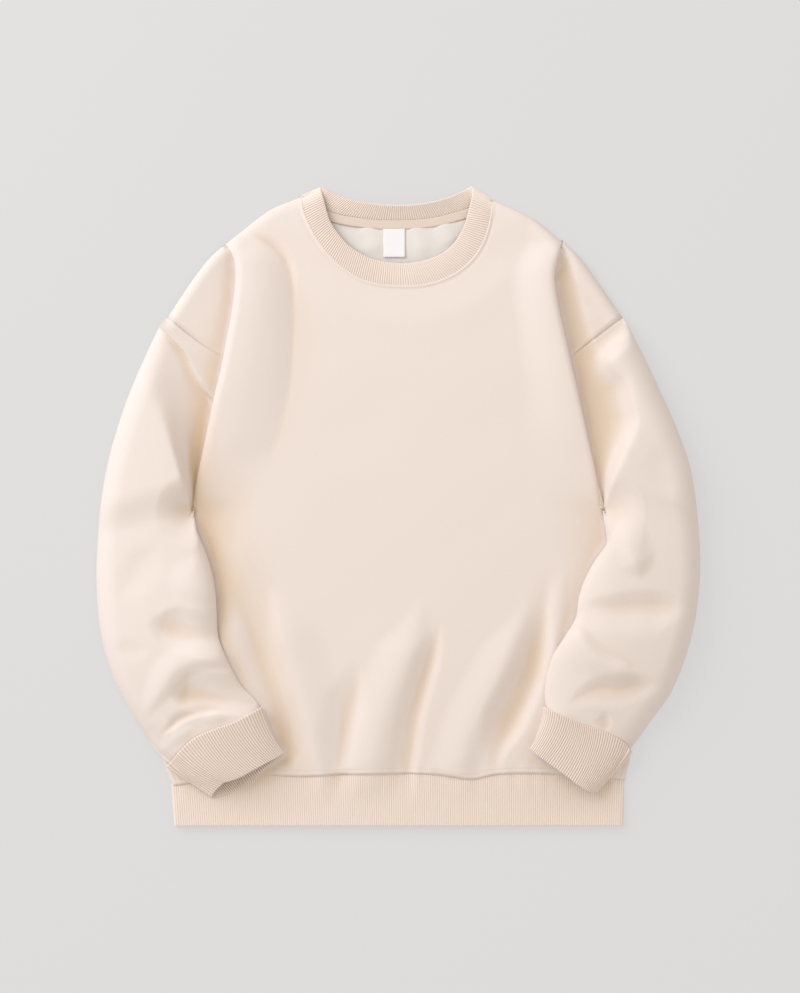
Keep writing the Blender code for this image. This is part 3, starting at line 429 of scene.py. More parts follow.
def capHeight(side, x, y):
    # the shoulder's cap: it falls from the outline towards the foot of the side roll
    parts = gully[side]
    out = pastRoll(side, x, y)
    edgeAway = shoulderAway(side, x, y)
    gapShare = np.clip(out / np.interp(y, *zip(*parts["gap"])), 0.0, 1.0)
    crown = body["footZ"] + parts["tilt"] * (1.0 - gapShare)
    crown = crown + parts["gapDrop"] * gapShare ** parts["turnUp"]
    capShare = np.clip(out / (out + edgeAway + tiny), 0.0, 1.0)
    crown = crown + parts["capDrop"] * capShare ** gully["capPower"]
    return mix(body["edgeZ"], crown, domed(edgeAway / body["shoulderRound"]))


def armHeight(side, x, y, tube, grown):
    # the upper sleeve: its tube's height, let down into the gully, and the cap where grown is 0
    parts = gully[side]
    offset, along = toMarks(parts["bank"], x, y)
    width = np.interp(along, np.linspace(0, 1, len(parts["bankWidth"])), parts["bankWidth"])
    past = -side * offset
    out = np.maximum(pastRoll(side, x, y), 0.0)
    past = 0.5 * (past + np.sqrt(past**2 + width**2))
    across = np.clip(out / (out + past + tiny), 0.0, 1.0)
    rising = across ** parts["hollow"]
    cap = capHeight(side, x, y)
    start, comes, goes = gully["brinkFades"]
    brink = parts["brink"] * np.exp(-np.abs(past) / gully["brinkReach"])
    brink = brink * ease((along - start) / comes) * ease((1.0 - along) / goes)
    grownShare = ease(grown / gully["capShare"])
    tube = mix(cap, tube + brink, grownShare)
    isLow = ease((gully["lowFrom"] - y) / gully["lowOver"])
    tilted = mix(parts["tilt"] * (1.0 - across), gully["lowFloor"], isLow)
    floor = body["footZ"] - gully["floorDrop"] + tilted
    height = mix(tube, mix(floor, tube, rising), ease((y - gully["endY"]) / gully["endOver"]))
    if parts["crease"]:
        brow = gully["brow"]
        away = toMarks(parts["crease"], x, y)[0]
        free = ease((shoulderAway(side, x, y) - brow["from"]) / brow["over"])
        ridge = cap + brow["rise"] * np.exp(-np.abs(away) / brow["reach"]) * free
        return mix(ridge, height, ease(-away / brow["soft"]))
    return mix(cap, height, grownShare)


def sideStrip(side):
    # from the seam over the cap and up the roll's wall to the roll line
    seam, roll = sideSeam(side), rollLine(side)
    floorCount, wallCount = body["floorColumns"], body["wallColumns"]
    y = roll[:, 1]
    crest, tuck = bodyAt("crest", y), bodyAt("tuck", y)
    opened = np.clip((tuck - body["tuckShut"]) / (body["tuckOpen"] - body["tuckShut"]), 0.0, 1.0)[:, None]
    undercut = body["undercutLeast"] + body["undercut"] * ease((y[0] - y) / body["undercutOver"])
    foot = roll.copy()
    foot[:, 0] -= side * undercut
    share = np.linspace(0.0, 1.0, floorCount)
    floor = mix(seam[:, None], foot[:, None], share[None, :, None])
    rise = np.linspace(0.0, 1.0, wallCount + 1)[1:]
    wall = np.repeat(roll[:, None], wallCount, axis=1)
    wall[:, :, 0] -= side * undercut[:, None] * np.cos(rise * math.pi / 2) ** 2
    flat = np.concatenate((floor, wall), axis=1)
    edge = ownBend(atShares(curveThrough(body["shoulder"][side]), share), share)
    flat[:yokeRows, :floorCount] += edge[None] * (1.0 - yokeShares)[:, None, None] ** body["yokePacking"]
    floorX, floorY = flat[:, :floorCount, 0], flat[:, :floorCount, 1]
    lip = body["lip"]
    seamAway = np.abs(toCurve(armholes[side], floorX, floorY)[0])
    turned = lip["rise"] * ease((lip["reach"] - seamAway) / lip["soft"])
    floorZ = capHeight(side, floorX, floorY) + turned * ease((y - body["turnY"]) / lip["over"])[:, None]
    wallZ = mix(floorZ[:, -1:], crest[:, None], rise[None, :] ** body["wallPower"])
    z = np.concatenate((floorZ, wallZ), axis=1)
    across = np.linspace(0.0, 1.0, flat.shape[1])[None, :]
    shutX = roll[:, :1] - side * tuck[:, None] * (1.0 - across ** body["shutPower"])
    shutZ = mix(body["edgeZ"], crest[:, None], domed(across))
    flat[yokeRows:, :, 0] = mix(shutX, flat[:, :, 0], opened)[yokeRows:]
    z[yokeRows:] = mix(shutZ, z, opened)[yokeRows:]
    fall = shoulderFall(side, flat[:, :, 0], flat[:, :, 1])
    z[:yokeRows, floorCount:] = mix(body["edgeZ"], z, fall)[:yokeRows, floorCount:]
    flat[-1, :, 1] = hemY(flat[-1, :, 0])
    return np.dstack((flat, z))


def panelPlan(sideLine, neckCurve, panel):
    # a patch between its two side lines, the shoulders with the neck, and the hem seam
    leftLine, rightLine = (sideLine(side) for side in arms)
    rollColumns, neckColumns = panel["rollColumns"], panel["neckColumns"]
    rollShare = (np.arange(rollColumns) / rollColumns) ** body["rollPacking"]
    neck = atShares(curveThrough(neckCurve), np.linspace(0, 1, neckColumns + 1))
    gap = body["seamGap"] + np.abs(np.linspace(-1.0, 1.0, len(neck))) ** 4 * body["seamGapEnds"]
    neck = movedAside(neck, gap[:, None])
    neck[0], neck[-1] = (body["yoke"][side][-1] for side in arms)
    top = [atShares(curveThrough(body["yoke"][side]), rollShare) for side in arms]
    top = np.concatenate((top[0], neck, top[1][::-1]))
    width = rightLine[-1, 0] - leftLine[-1, 0]
    span = body["rollSpan"]
    inner = np.linspace(span, width - span, neckColumns + 1)
    across = np.concatenate((rollShare * span, inner, width - rollShare[::-1] * span))
    hemX = leftLine[-1, 0] + across
    bottom = np.stack((hemX, hemY(hemX)), axis=1)
    u = (across / width)[None, :, None]
    v = sum(travelled(line) / travelled(line)[-1] for line in (leftLine, rightLine)) / 2
    plan = mix(top[None], bottom[None], v[:, None, None])
    for line, away in ((leftLine, u), (rightLine, 1 - u)):
        plan = plan + ease(1 - away / body["sidePull"]) * ownBend(line, v)[:, None]
    return plan


def frontPoints():
    plan = panelPlan(rollLine, body["neck"], body)
    x, y = plan[:, :, 0], plan[:, :, 1]
    away, share = toMarks(body["neck"], x, y)
    away = np.abs(away)
    neckZ = body["neckTop"] - body["neckDrop"] * np.abs(2 * share - 1) ** body["neckPower"]
    z = mix(neckZ, frontHeight(x, y), ease(away / body["neckFade"]))
    for rise, at, width in body["neckRidges"]:
        z = z + rise * np.exp(-((away - at) / width) ** 2)
    z = mix(body["edgeZ"], z, np.where(x < 0, shoulderFall(armRight, x, y), shoulderFall(armLeft, x, y)))
    middle = np.dstack((x, y, z))
    leftStrip, rightStrip = sideStrip(armRight), sideStrip(armLeft)
    middle[:, 0], middle[:, -1] = leftStrip[:, -1], rightStrip[:, -1]
    return np.concatenate((leftStrip[:, :-1], middle, rightStrip[:, ::-1][:, 1:]), axis=1)


# Meshes: a grid of points, laid row by row from the top edge down
def clothMesh(points, uv=None, notes=None, closed=False):
    rows, columns = points.shape[:2]
    bm = bmesh.new()
    bmesh.ops.create_grid(bm, x_segments=columns - 1, y_segments=rows - 1, size=1.0)
    bm.verts.ensure_lookup_table()
    for vert, point in zip(bm.verts, points[::-1].reshape(-1, 3) * mm):
        vert.co = point
    for name, values in (notes or {}).items():
        layer = bm.verts.layers.float.new(name)
        for vert, value in zip(bm.verts, values[::-1].ravel()):
            vert[layer] = value
    spots = (points[:, :, :2] if uv is None else uv)[::-1].reshape(-1, 2) * mm
    layer = bm.loops.layers.uv.new("cloth")
    for face in bm.faces:
        for loop in face.loops:
            loop[layer].uv = spots[loop.vert.index]
    if closed:
        bmesh.ops.remove_doubles(bm, verts=bm.verts, dist=mm / 1000)
    return bm


def newPiece(bm, name, material):
    mesh = bpy.data.meshes.new(name)
    bm.to_mesh(mesh)
    bm.free()
    mesh.shade_smooth()
    mesh.materials.append(material)
    piece = bpy.data.objects.new(name, mesh)
    bpy.context.scene.collection.objects.link(piece)
    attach(piece, "root")
    return piece


def sheetPiece(bm, name, material, thickness):
    # the points are the outer face, and the wall grows inwards from it, down to the floor at most
    piece = newPiece(bm, name, material)
    wall = piece.modifiers.new("Wall", "SOLIDIFY")
    wall.thickness = thickness * mm
    wall.offset = -1.0
    solid = bpy.data.meshes.new_from_object(piece.evaluated_get(bpy.context.evaluated_depsgraph_get()))
    piece.modifiers.remove(wall)
    piece.data = solid
    for corner in solid.vertices:
        corner.co.z = max(corner.co.z, 0.0)
    return piece


# Finishes
# dark warm colour of the painted shade between folds
paintedShadeTint = (0.640, 0.455, 0.245, 1.0)
finishes = {
    "fleeceFace": {"pale": (0.784, 0.704, 0.664, 1.0), "deep": (0.774, 0.688, 0.642, 1.0)},
    "ribKnit": {
        "pale": (0.840, 0.745, 0.680, 1.0), "deep": (0.820, 0.715, 0.640, 1.0),
        # the dark colour below is the painted shade in the grooves between the ribs
        "grooveShade": (0.440, 0.300, 0.235, 1.0), "knit": (2.3, 1.5), "knitDepth": 0.08, "shadeShare": 0.45,
    },
    "fleeceInside": {
        "pale": (0.770, 0.745, 0.720, 1.0), "deep": (0.740, 0.705, 0.675, 1.0),
        "sheen": 0.25, "fuzz": 1.2, "shadeShare": 0.15,
    },
    "neckTape": {
        "pale": (0.745, 0.635, 0.560, 1.0), "deep": (0.715, 0.605, 0.525, 1.0),
        "knit": (0.7, 0.9), "shadeShare": 0.4,
    },
    "labelSatin": {
        "pale": (0.86, 0.86, 0.88, 1.0), "deep": (0.84, 0.84, 0.87, 1.0), "roughness": 0.55, "sheen": 0.0,
        "knit": (0.35, 0.35), "knitDepth": 0.02, "fuzz": 0.1, "shadeShare": 0.1,
    },
    "sewingThread": {
        "pale": (0.720, 0.620, 0.550, 1.0), "deep": (0.720, 0.620, 0.550, 1.0),
        "roughness": 0.7, "knit": (0.5, 0.5),
    },
}


def newMaterial(name, inputs):
    material = bpy.data.materials.new(name)
    material.use_nodes = True
    shader = material.node_tree.nodes["Principled BSDF"]
    for socket, value in inputs.items():
        shader.inputs[socket].default_value = value
    return material, shader


def node(tree, kind, inputs, **settings):
    made = tree.nodes.new(kind)
    for name, value in settings.items():
        setattr(made, name, value)
    for socket, value in inputs.items():
        if isinstance(value, bpy.types.NodeSocket):
            tree.links.new(value, made.inputs[socket])
        else:
            made.inputs[socket].default_value = value
    return made


def sums(tree, operation, a, b=0.0):
    return node(tree, "ShaderNodeMath", {0: a, 1: b}, operation=operation).outputs[0]


def blended(tree, factor, a, b):
    return node(tree, "ShaderNodeMix", {0: factor, 6: a, 7: b}, data_type="RGBA").outputs[2]


def marked(tree, name):
    return node(tree, "ShaderNodeAttribute", {}, attribute_name=name).outputs["Fac"]


def knitHeight(tree, wale, course):
    # rows of small V stitches, wale wide and course high, along the cloth's own map
    uv = node(tree, "ShaderNodeUVMap", {}, uv_map="cloth")
    split = node(tree, "ShaderNodeSeparateXYZ", {0: uv.outputs[0]})
    across = sums(tree, "MULTIPLY", split.outputs[0], 1.0 / (wale * mm))
    half = sums(tree, "ABSOLUTE", sums(tree, "SUBTRACT", sums(tree, "FRACT", across), 0.5))
    up = sums(tree, "MULTIPLY", split.outputs[1], 1.0 / (course * mm))
    turn = sums(tree, "MULTIPLY", sums(tree, "ADD", up, half), 2.0 * math.pi)
    stitch = sums(tree, "MULTIPLY", sums(tree, "SINE", turn), 0.35)
    return sums(tree, "ADD", stitch, sums(tree, "MULTIPLY", half, -1.6))


# the last argument scales how strongly the painted shade between folds tints this finish
def clothMaterial(name, pale, deep, roughness=0.9, sheen=0.12, knit=(1.1, 1.3), knitDepth=0.05, fuzz=0.3,
                  grooveShade=None, shadeShare=1.0):
    material, shader = newMaterial(name, {
        "Roughness": roughness, "Specular IOR Level": 0.2,
        "Sheen Weight": sheen, "Sheen Roughness": 0.45, "Sheen Tint": (1.0, 0.93, 0.88, 1.0),
    })
    tree = material.node_tree
    place = node(tree, "ShaderNodeTexCoord", {}).outputs["Object"]
    wide = node(tree, "ShaderNodeTexNoise", {"Vector": place, "Scale": 7.0, "Detail": 2.0})
    fibres = node(tree, "ShaderNodeTexNoise", {"Vector": place, "Scale": 1400.0, "Detail": 3.0})
    colour = blended(tree, wide.outputs[0], pale, deep)
    # painted shade: the grooves between the ribs are tinted dark
    if grooveShade:
        colour = blended(tree, marked(tree, "grooveShade"), colour, grooveShade)
    # painted shade: the colour is mixed towards a dark warm tint where the cloth lies deep between its
    # folds
    colour = blended(tree, sums(tree, "MULTIPLY", marked(tree, "paintedShade"), shadeShare), colour, paintedShadeTint)
    tone = node(tree, "ShaderNodeMapRange", {"Value": fibres.outputs[0], "From Min": 0.3, "From Max": 0.7,
                                             "To Min": 0.975, "To Max": 1.015})
    tint = node(tree, "ShaderNodeVectorMath", {0: colour, "Scale": tone.outputs[0]}, operation="SCALE")
    tree.links.new(tint.outputs[0], shader.inputs["Base Color"])
    height = sums(tree, "MULTIPLY", knitHeight(tree, *knit), knitDepth)
    height = sums(tree, "ADD", height, sums(tree, "MULTIPLY", fibres.outputs[0], fuzz * 0.1))
    bump = node(tree, "ShaderNodeBump", {"Height": height, "Strength": 0.6, "Distance": mm})
    tree.links.new(bump.outputs[0], shader.inputs["Normal"])
    return material


fleece, ribKnit, fleeceInside, tapeTwill, labelSatin, thread = (
    clothMaterial(name, **looks) for name, looks in finishes.items()
)
print("finishes made")


# Front panel
frontGrid = frontPoints()
front = sheetPiece(clothMesh(frontGrid), "front_body", fleece, body["cloth"])
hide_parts("front_panel")
print("front made")


# Back panel: it lies flat, and its inner face shows through the neck
back = {
    "neck": ((-93, 333), (-72, 323), (-36, 316.5), (0, 315), (36, 317.5), (72, 326.5), (91, 333.5)),
    "seamDown": 0.4,
    "folds": (
        (((-70, 318), (-52, 302), (-30, 284)), 22, 14, 0, 0, -1.2, 0.3, 0.3),
        (((-44, 312), (-30, 296), (-18, 276)), 14, 18, 0, 0, 1.8, 0.3, 0.3),
        (((12, 312), (20, 296), (26, 270)), 20, 10, 0, 0.3, 1.4, 0.3, 0.3),
        (((44, 316), (54, 300), (60, 286)), 14, 16, 0, 0, 1.4, 0.3, 0.3),
    ),
    "foldsFrom": 256,  # below the neck it lies flat under the front
    "foldsOver": 14,
    "deepest": -0.8,
    "lift": 0.4,
    "rollColumns": 16,
    "neckColumns": 72,
    "rowStep": 6,
}


def backPoints():
    neck = [(x, y - back["seamDown"]) for x, y in back["neck"]]
    plan = panelPlan(sideSeam, neck, back)
    rows = [*range(yokeRows), *range(yokeRows, len(plan), back["rowStep"])]
    rows[-1] = len(plan) - 1
    x, y = plan[rows, :, 0], plan[rows, :, 1]
    inNeck = ease((y - back["foldsFrom"]) / back["foldsOver"])
    folds = np.maximum(foldRise(back["folds"], x, y), back["deepest"])
    z = body["cloth"] + (folds + back["lift"]) * inNeck
    return np.dstack((x, y, z))


backPiece = sheetPiece(clothMesh(backPoints()), "back_body", fleeceInside, body["cloth"])
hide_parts("back_panel")
print("back made")


# Sleeves: rings from the armhole to the cuff seam, as outer x, y and inner x, y
sleeve = {
    "rings": {
        armRight: (
            (-254, 208, -225.5, -3), (-265, 193, -224.8, -8.5), (-279, 163, -223, -18),
            (-293, 130, -219.5, -31), (-307, 91, -212, -48), (-320, 43, -205, -70),
            (-328, -8, -200.5, -94), (-331.7, -60, -199, -117), (-331, -104, -197.5, -142),
            (-326, -145, -191.5, -158), (-315, -183, -184, -175), (-299, -217, -172, -196),
            (-279, -249, -158, -211), (-264, -270, -153.5, -217.5), (-250.5, -283, -152, -222),
        ),
        armLeft: (
            (246, 208, 224, -3), (256, 191, 224.5, -8.5), (270, 164, 225.5, -18),
            (286, 130, 227.5, -29), (303.5, 91, 227.5, -42), (320, 45, 216, -58),
            (328, -5, 204, -80), (331.5, -52, 197, -102), (330.5, -90, 194, -122),
            (325, -130, 181, -144), (314, -170, 169, -163), (298, -207, 162, -186),
            (277, -236, 160, -203), (264, -254, 160.5, -214), (252.5, -268, 162, -222),
        ),
    },
    "cuffSeam": {
        armRight: (
            (-250.5, -283), (-238, -268), (-225, -255.8), (-213, -249), (-199.7, -243.7), (-178.8, -236),
            (-152, -222),
        ),
        armLeft: (
            (252.5, -268), (248, -261.5), (238, -254.7), (225, -248), (203, -240.4), (185.4, -232.7),
            (162, -222),
        ),
    },
    # the same columns as the body's folds, walked across the arm from the left
    "folds": {
        armRight: (
            (((-257, -70), (-235, -82), (-213, -90), (-188, -97)), 44, 24, 0, 0, 3.6, 0.45, 0.1),
            (((-276, -126), (-257, -133), (-229, -139), (-202, -145), (-180, -149)),
             28, 24, -0.6, -0.3, -8, 0.4, 0.02),
            (((-316, -155), (-292, -158), (-268, -156)), 16, 14, 0, 0, -1.4, 0.4, 0.4),
            (((-281, -237), (-271, -218), (-259, -200), (-245, -178), (-224, -167), (-202, -163),
              (-180, -160)), 24, 17, 0, 0, 4.6, 0.45, 0.1),
            (((-252, -204), (-236, -207), (-218, -208), (-191, -210), (-140, -214)),
             28, 18, -0.6, -0.3, -7.4, 0.35, 0.02),
            (((-284, -243), (-268, -253), (-250, -260)), 18, 14, 0, 0, -1.8, 0.4, 0.3),
            (((-262, -253), (-251, -243), (-240, -233), (-220, -225), (-202, -223), (-180, -224)),
             10, 7, 0.2, 0.2, -3.2, 0.4, 0.35),
            (((-252, -262), (-238, -250), (-222, -240)), 14, 12, 0, 0, 1.6, 0.5, 0.5),
            (((-218, -234), (-200, -231), (-182, -229)), 12, 10, 0, 0, 1.4, 0.5, 0.5),
            (((-262, -38), (-284, -70), (-306, -106)), 30, 24, 0, 0, -2.2, 0.4, 0.4),
        ),
        armLeft: (
            (((233, 10), (243, -22), (256, -56), (266, -80)), 28, 20, 0, 0.2, 6.4, 0.5, 0.3),
            (((200, -103), (214, -109), (240, -111), (268, -109), (296, -109), (322, -118)),
             20, 36, -0.2, 0, -6, 0.5, 0.35),
            (((188, -114), (196, -138), (211, -160), (228, -174), (249, -182), (270, -185)),
             15, 24, 0, 0.2, 6.6, 0.25, 0.3),
            (((184, -222), (198, -209), (220, -199), (248, -196), (276, -194), (304, -196)),
             16, 26, 0, 0, -4.2, 0.45, 0.5),
            (((221, -222), (226, -230), (227, -239), (225, -248)), 8, 15, 0, 0, -1.8, 0.45, 0.3),
            (((282, 73), (291, 40), (292, 0)), 28, 30, 0, 0, -1.4, 0.4, 0.4),
        ),
    },
    "puff": {armRight: 22, armLeft: 25},
    "outerRound": {armRight: 22, armLeft: 24},
    "innerRound": {armRight: 32, armLeft: 80},
    "cuffEnd": {
        "puff": 17, "outerRound": 26, "innerRound": 24, "drawnTo": 0.8, "drawnOver": 9, "foldsOver": 8,
    },
    # shares of its length, or of the way across: where each change starts, and over how much it comes
    "fades": {
        "hole": (0.35, 0.3), "seam": (0.7, 0.3), "puff": (0.6, 0.4), "round": (0.75, 0.25),
        "across": (0.7, 0.3), "slope": (0.1, 0.9),
        "nose": (0, 0.2), "rest": (0, 0.08), "least": (0, 0.05), "soft": (0, 0.1),
    },
    "edge": 4.8,
    "edgeStart": 0.5,
    "edgeInner": 0.4,
    "underEdge": 6,
    "restRound": 70,
    "restSlope": 0.3,
    "foldEdges": (30, 12, 0.4),  # over how much the folds come in from each edge, and from what share
    "softness": 1.2,
    "tuck": 1.3,
    "tuckOver": 6,
    "sunk": 0.1,
    "underRoll": 2.4,
    "levelOver": 10,
    # near the armpit the sleeve comes down to the body's own height
    "armpitZ": 12.5,
    "armpitReach": 40,
    "armpitRise": 20,
    "restEdge": 7,
    "restGap": 0.9,
    "restInside": 6,
    "rampFrom": 3,
    "rampOver": 20,
    "armpitOver": 10,
    "restSmooth": 6,
    "ringCount": 171,
    "ringEase": 0.3,
    "topColumns": 128,
    "underColumns": 34,
    "columnEase": 0.7,
}


def restHeight(side, x, y):
    # what a sleeve rests on: the floor, or the front under it
    seam = sideSeam(side)
    outside = side * (x - np.interp(y, seam[::-1, 1], seam[::-1, 0]))
    level = np.maximum(y, bodyTable[0, 0])
    under = np.maximum(frontHeight(x, level), frontHeight(x - side * sleeve["restInside"], level))
    ramp = sleeve["restEdge"] * ease(1.0 - (outside - sleeve["rampFrom"]) / sleeve["rampOver"])
    height = np.where(outside > 0, ramp, np.maximum(under + sleeve["restGap"], sleeve["restEdge"]))
    return height * ease(1.0 - (y - body["armpitY"]) / sleeve["armpitOver"])


def smoothed(values, reach):
    window = np.hanning(2 * reach + 3)[1:-1]
    padded = np.pad(values, reach, mode="edge")
    return np.convolve(padded, window / window.sum(), mode="valid")


def sleeveFade(name, v):
    start, span = sleeve["fades"][name]
    return ease((v - start) / span)


def sleevePoints(side):
    v = easedShares(sleeve["ringCount"], sleeve["ringEase"])
    table = curveThrough(sleeve["rings"][side])
    table = readLine(table, np.linspace(0, 1, len(table)), v)
    length = travelled(table[:, :2])[-1]
    topCount = sleeve["topColumns"]
    over = easedShares(topCount, sleeve["columnEase"])
    under = easedShares(sleeve["underColumns"], sleeve["columnEase"])
    share = np.concatenate((over, under[::-1][1:]))
    plan = mix(table[:, None, :2], table[:, None, 2:], share[None, :, None])
    width = np.linalg.norm(table[:, 2:] - table[:, :2], axis=1)[:, None]
    # the armhole's curve at the first ring, and the cuff seam's at the last
    hole = armholes[side]
    holeShare = travelled(hole) / travelled(hole)[-1]
    bulge = readLine(ownBend(hole, holeShare), holeShare, share)
    seamShare = np.linspace(0, 1, 60)
    seam = atShares(curveThrough(sleeve["cuffSeam"][side]), seamShare)
    bow = readLine(ownBend(seam, seamShare), seamShare, share)
    pull = ((1 - v) ** 3 * (1 - sleeveFade("hole", v)))[:, None]
    pull = pull ** (1.0 + 2.0 * sleeveFade("across", share))[None, :]
    plan = plan + bulge[None] * pull[:, :, None] + bow[None] * sleeveFade("seam", v)[:, None, None]
    # above the armpit it stays clear of the body's roll
    x, y = plan[:, :, 0], plan[:, :, 1]
    inside = rollX(side, y) - side * sleeve["underRoll"]
    isCovered = (side * (x - inside) < 0) & (y > body["armpitY"])
    x = np.where(isCovered, inside, x)
    rest = restHeight(side, x, y)
    innerRest = smoothed(restHeight(side, table[:, 2], table[:, 3]), sleeve["restSmooth"])
    innerRest = innerRest * sleeveFade("rest", v)
    end = sleeve["cuffEnd"]
    puff = mix(sleeve["puff"][side], end["puff"], sleeveFade("puff", v))[:, None]
    nearCuff = sleeveFade("round", v)[:, None]
    outerRound = mix(sleeve["outerRound"][side], end["outerRound"], nearCuff)
    innerRound = mix(sleeve["innerRound"][side], end["innerRound"], nearCuff)
    fromOuter, fromInner = share[None] * width, (1 - share[None]) * width
    slope = mix(domed(fromOuter / sleeve["restRound"]), sleeveFade("slope", share), sleeve["restSlope"])
    rounded = domed(fromOuter / outerRound) * domed(fromInner / innerRound)
    outerOver, innerOver, innerLeast = sleeve["foldEdges"]
    folds = foldRise(sleeve["folds"][side], x, y) * domed(fromOuter / outerOver)
    folds = folds * mix(innerLeast, 1.0, domed(fromInner / innerOver))
    nose = sleeve["edge"] * mix(sleeve["edgeStart"], 1.0, sleeveFade("nose", v))[:, None]
    nose = nose * (1.0 - sleeve["edgeInner"] * share[None, :])
    # the sleeve's end is drawn in to its seam
    toCuff = (1 - v)[:, None] * length
    drawnIn = mix(end["drawnTo"], 1.0, domed(toCuff / end["drawnOver"]))
    tube = innerRest[:, None] * slope + (nose + (puff - nose) * rounded) * drawnIn
    tube = tube + folds * ease(toCuff / end["foldsOver"])
    armpit = np.hypot(x - table[0, 2], y - table[0, 3]) / sleeve["armpitReach"]
    lowered = np.minimum(tube, sleeve["armpitZ"] + sleeve["armpitRise"] * armpit)
    tube = mix(tube, lowered, np.exp(-armpit**2))
    top = armHeight(side, x, y, tube, v[:, None])
    least = rest + nose * sleeveFade("least", v)[:, None]
    soft = sleeve["softness"] * sleeveFade("soft", v)[:, None]
    top = 0.5 * (top + least + np.sqrt((top - least) ** 2 + soft))
    toEdge = domed(np.minimum(fromOuter, fromInner) / sleeve["underEdge"])
    under = rest + nose * (1 - toEdge) * sleeveFade("least", v)[:, None]
    z = np.where((np.arange(len(share)) < topCount)[None, :], top, under)
    points = np.dstack((x, y, z))
    first, second = points[0, :topCount], points[1, :topCount]
    drawn = ease((hole[0, 1] - first[:, 1:2]) / sleeve["tuckOver"])
    first += unit(first - second) * sleeve["tuck"] * drawn
    first[:, 2] -= sleeve["sunk"]
    # under the side roll the sleeve's end lies as high as the cloth beside it
    isUnder = ease((body["turnY"] - first[:, 1]) / sleeve["levelOver"])
    first[:, 2] = mix(first[:, 2], np.maximum(first[:, 2], second[:, 2]), isUnder)
    points[:, -1] = points[:, 0]
    steps = np.linalg.norm(np.diff(points, axis=1), axis=2)
    around = np.concatenate((np.zeros((len(v), 1)), np.cumsum(steps, axis=1)), axis=1)
    return points, np.dstack((around, np.repeat((v * length)[:, None], len(share), axis=1)))


sleeveEnds, sleevePieces = {}, {}
for side, arm in arms.items():
    points, uv = sleevePoints(side)
    sleeveEnds[side] = points[-1]
    if side == armLeft:
        points, uv = points[:, ::-1], uv[:, ::-1]
    bm = clothMesh(points, uv, closed=True)
    piece = sheetPiece(bm, "sleeve_" + arm + "_cloth", fleece, body["cloth"])
    sleevePieces[side] = piece
    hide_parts("sleeve_" + arm)
print("sleeves made")


# Ribbed bands: rings from the seam to the free edge, with ribs raised on their faces
ribs = {
    "wall": 2.4,
    "edgeRound": 1.3,
    "perRib": 8,
    "pitch": 2.3,
    "wavePower": 0.55,
    "groovePower": 0.9,
    "edgeRows": (0.0, 0.12, 0.4, 0.9, 1.6),  # close rows near both edges, in edge rounds
}


def ringNormals(rings):
    around = np.roll(rings, -1, axis=1) - np.roll(rings, 1, axis=1)
    along = np.gradient(rings, axis=0)
    normals = np.cross(around, along)
    return normals / np.maximum(np.linalg.norm(normals, axis=2), 1e-9)[:, :, None]


def evenRibs(seam, end, count):
    # both edges with even points for each rib, the ribs' phase, and the points' places on the measure
    measure = travelled(mix(seam, end, 0.5))
    phase = np.arange(count * ribs["perRib"]) / ribs["perRib"]
    places = phase / count * measure[-1]
    return readLine(seam, measure, places), readLine(end, measure, places), phase, places, measure


def ribBand(name, band, ringAt, phase, outerFade, innerFade, grooveShadeDepth, flip):
    # ringAt(share) gives a closed ring of points; phase counts ribs round it
    edgeRound, length = ribs["edgeRound"], band["length"]
    near = np.array(ribs["edgeRows"]) * edgeRound / length
    middle = np.linspace(near[-1], 1 - near[-1], band["rows"])[1:-1]
    shares = np.concatenate((near, middle, 1 - near[::-1]))
    rings = np.array([ringAt(share) for share in shares])
    normals = ringNormals(rings) * flip
    thick = domed(np.minimum(shares, 1 - shares) * length / edgeRound)[:, None]
    wave = np.abs(np.sin(math.pi * phase))[None, :] ** ribs["wavePower"]
    faces, grooveShades = [], []
    for sign, fade in ((1, outerFade), (-1, innerFade)):
        lift = thick * (ribs["wall"] / 2 + (wave - 0.5) * band["raised"] * fade[None, :])
        faces.append(rings + sign * normals * lift[:, :, None])
        # painted shade in the grooves, strongest at their floor, scaled by each band's setting
        grooveShade = np.minimum((1 - wave) ** ribs["groovePower"] * grooveShadeDepth, 1.0)
        grooveShades.append(grooveShade * fade[None, :] * np.ones_like(thick))
    points, grooveShade = (np.concatenate((outer, inner[::-1][1:])) for outer, inner in (faces, grooveShades))
    down = np.concatenate((shares, 2 - shares[::-1][1:])) * length
    uv = np.dstack(np.meshgrid(phase * ribs["pitch"], down))
    points, grooveShade, uv = (np.concatenate((grid, grid[:, :1]), axis=1) for grid in (points, grooveShade, uv))
    bm = clothMesh(points, uv, {"grooveShade": grooveShade}, closed=True)
    bmesh.ops.recalc_face_normals(bm, faces=bm.faces)
    return newPiece(bm, name, ribKnit)


# Hem band
hem = {
    "ribs": 206,
    "length": 55,
    "rows": 9,
    "raised": 1.5,
    "grooveShadeDepth": 1.3,
    "edgeY": -351.3,
    "ends": {armRight: -245.5, armLeft: 246},
    "seamEnds": {armRight: -248.9, armLeft: 247.4},
    "tuck": 2.8,
    "sunk": 2.35,
    "topZ": 6,
    "swell": 0.8,
    "quick": 1.6,  # how much sooner than the free edge it has its own height
    "seamZ": 4.6,
    "foldZ": 3.6,
    "underZ": 1.6,
    "endRound": 3,
    "underPerRib": 4,
    "underFade": 0.4,
    "innerFade": 0.3,
}


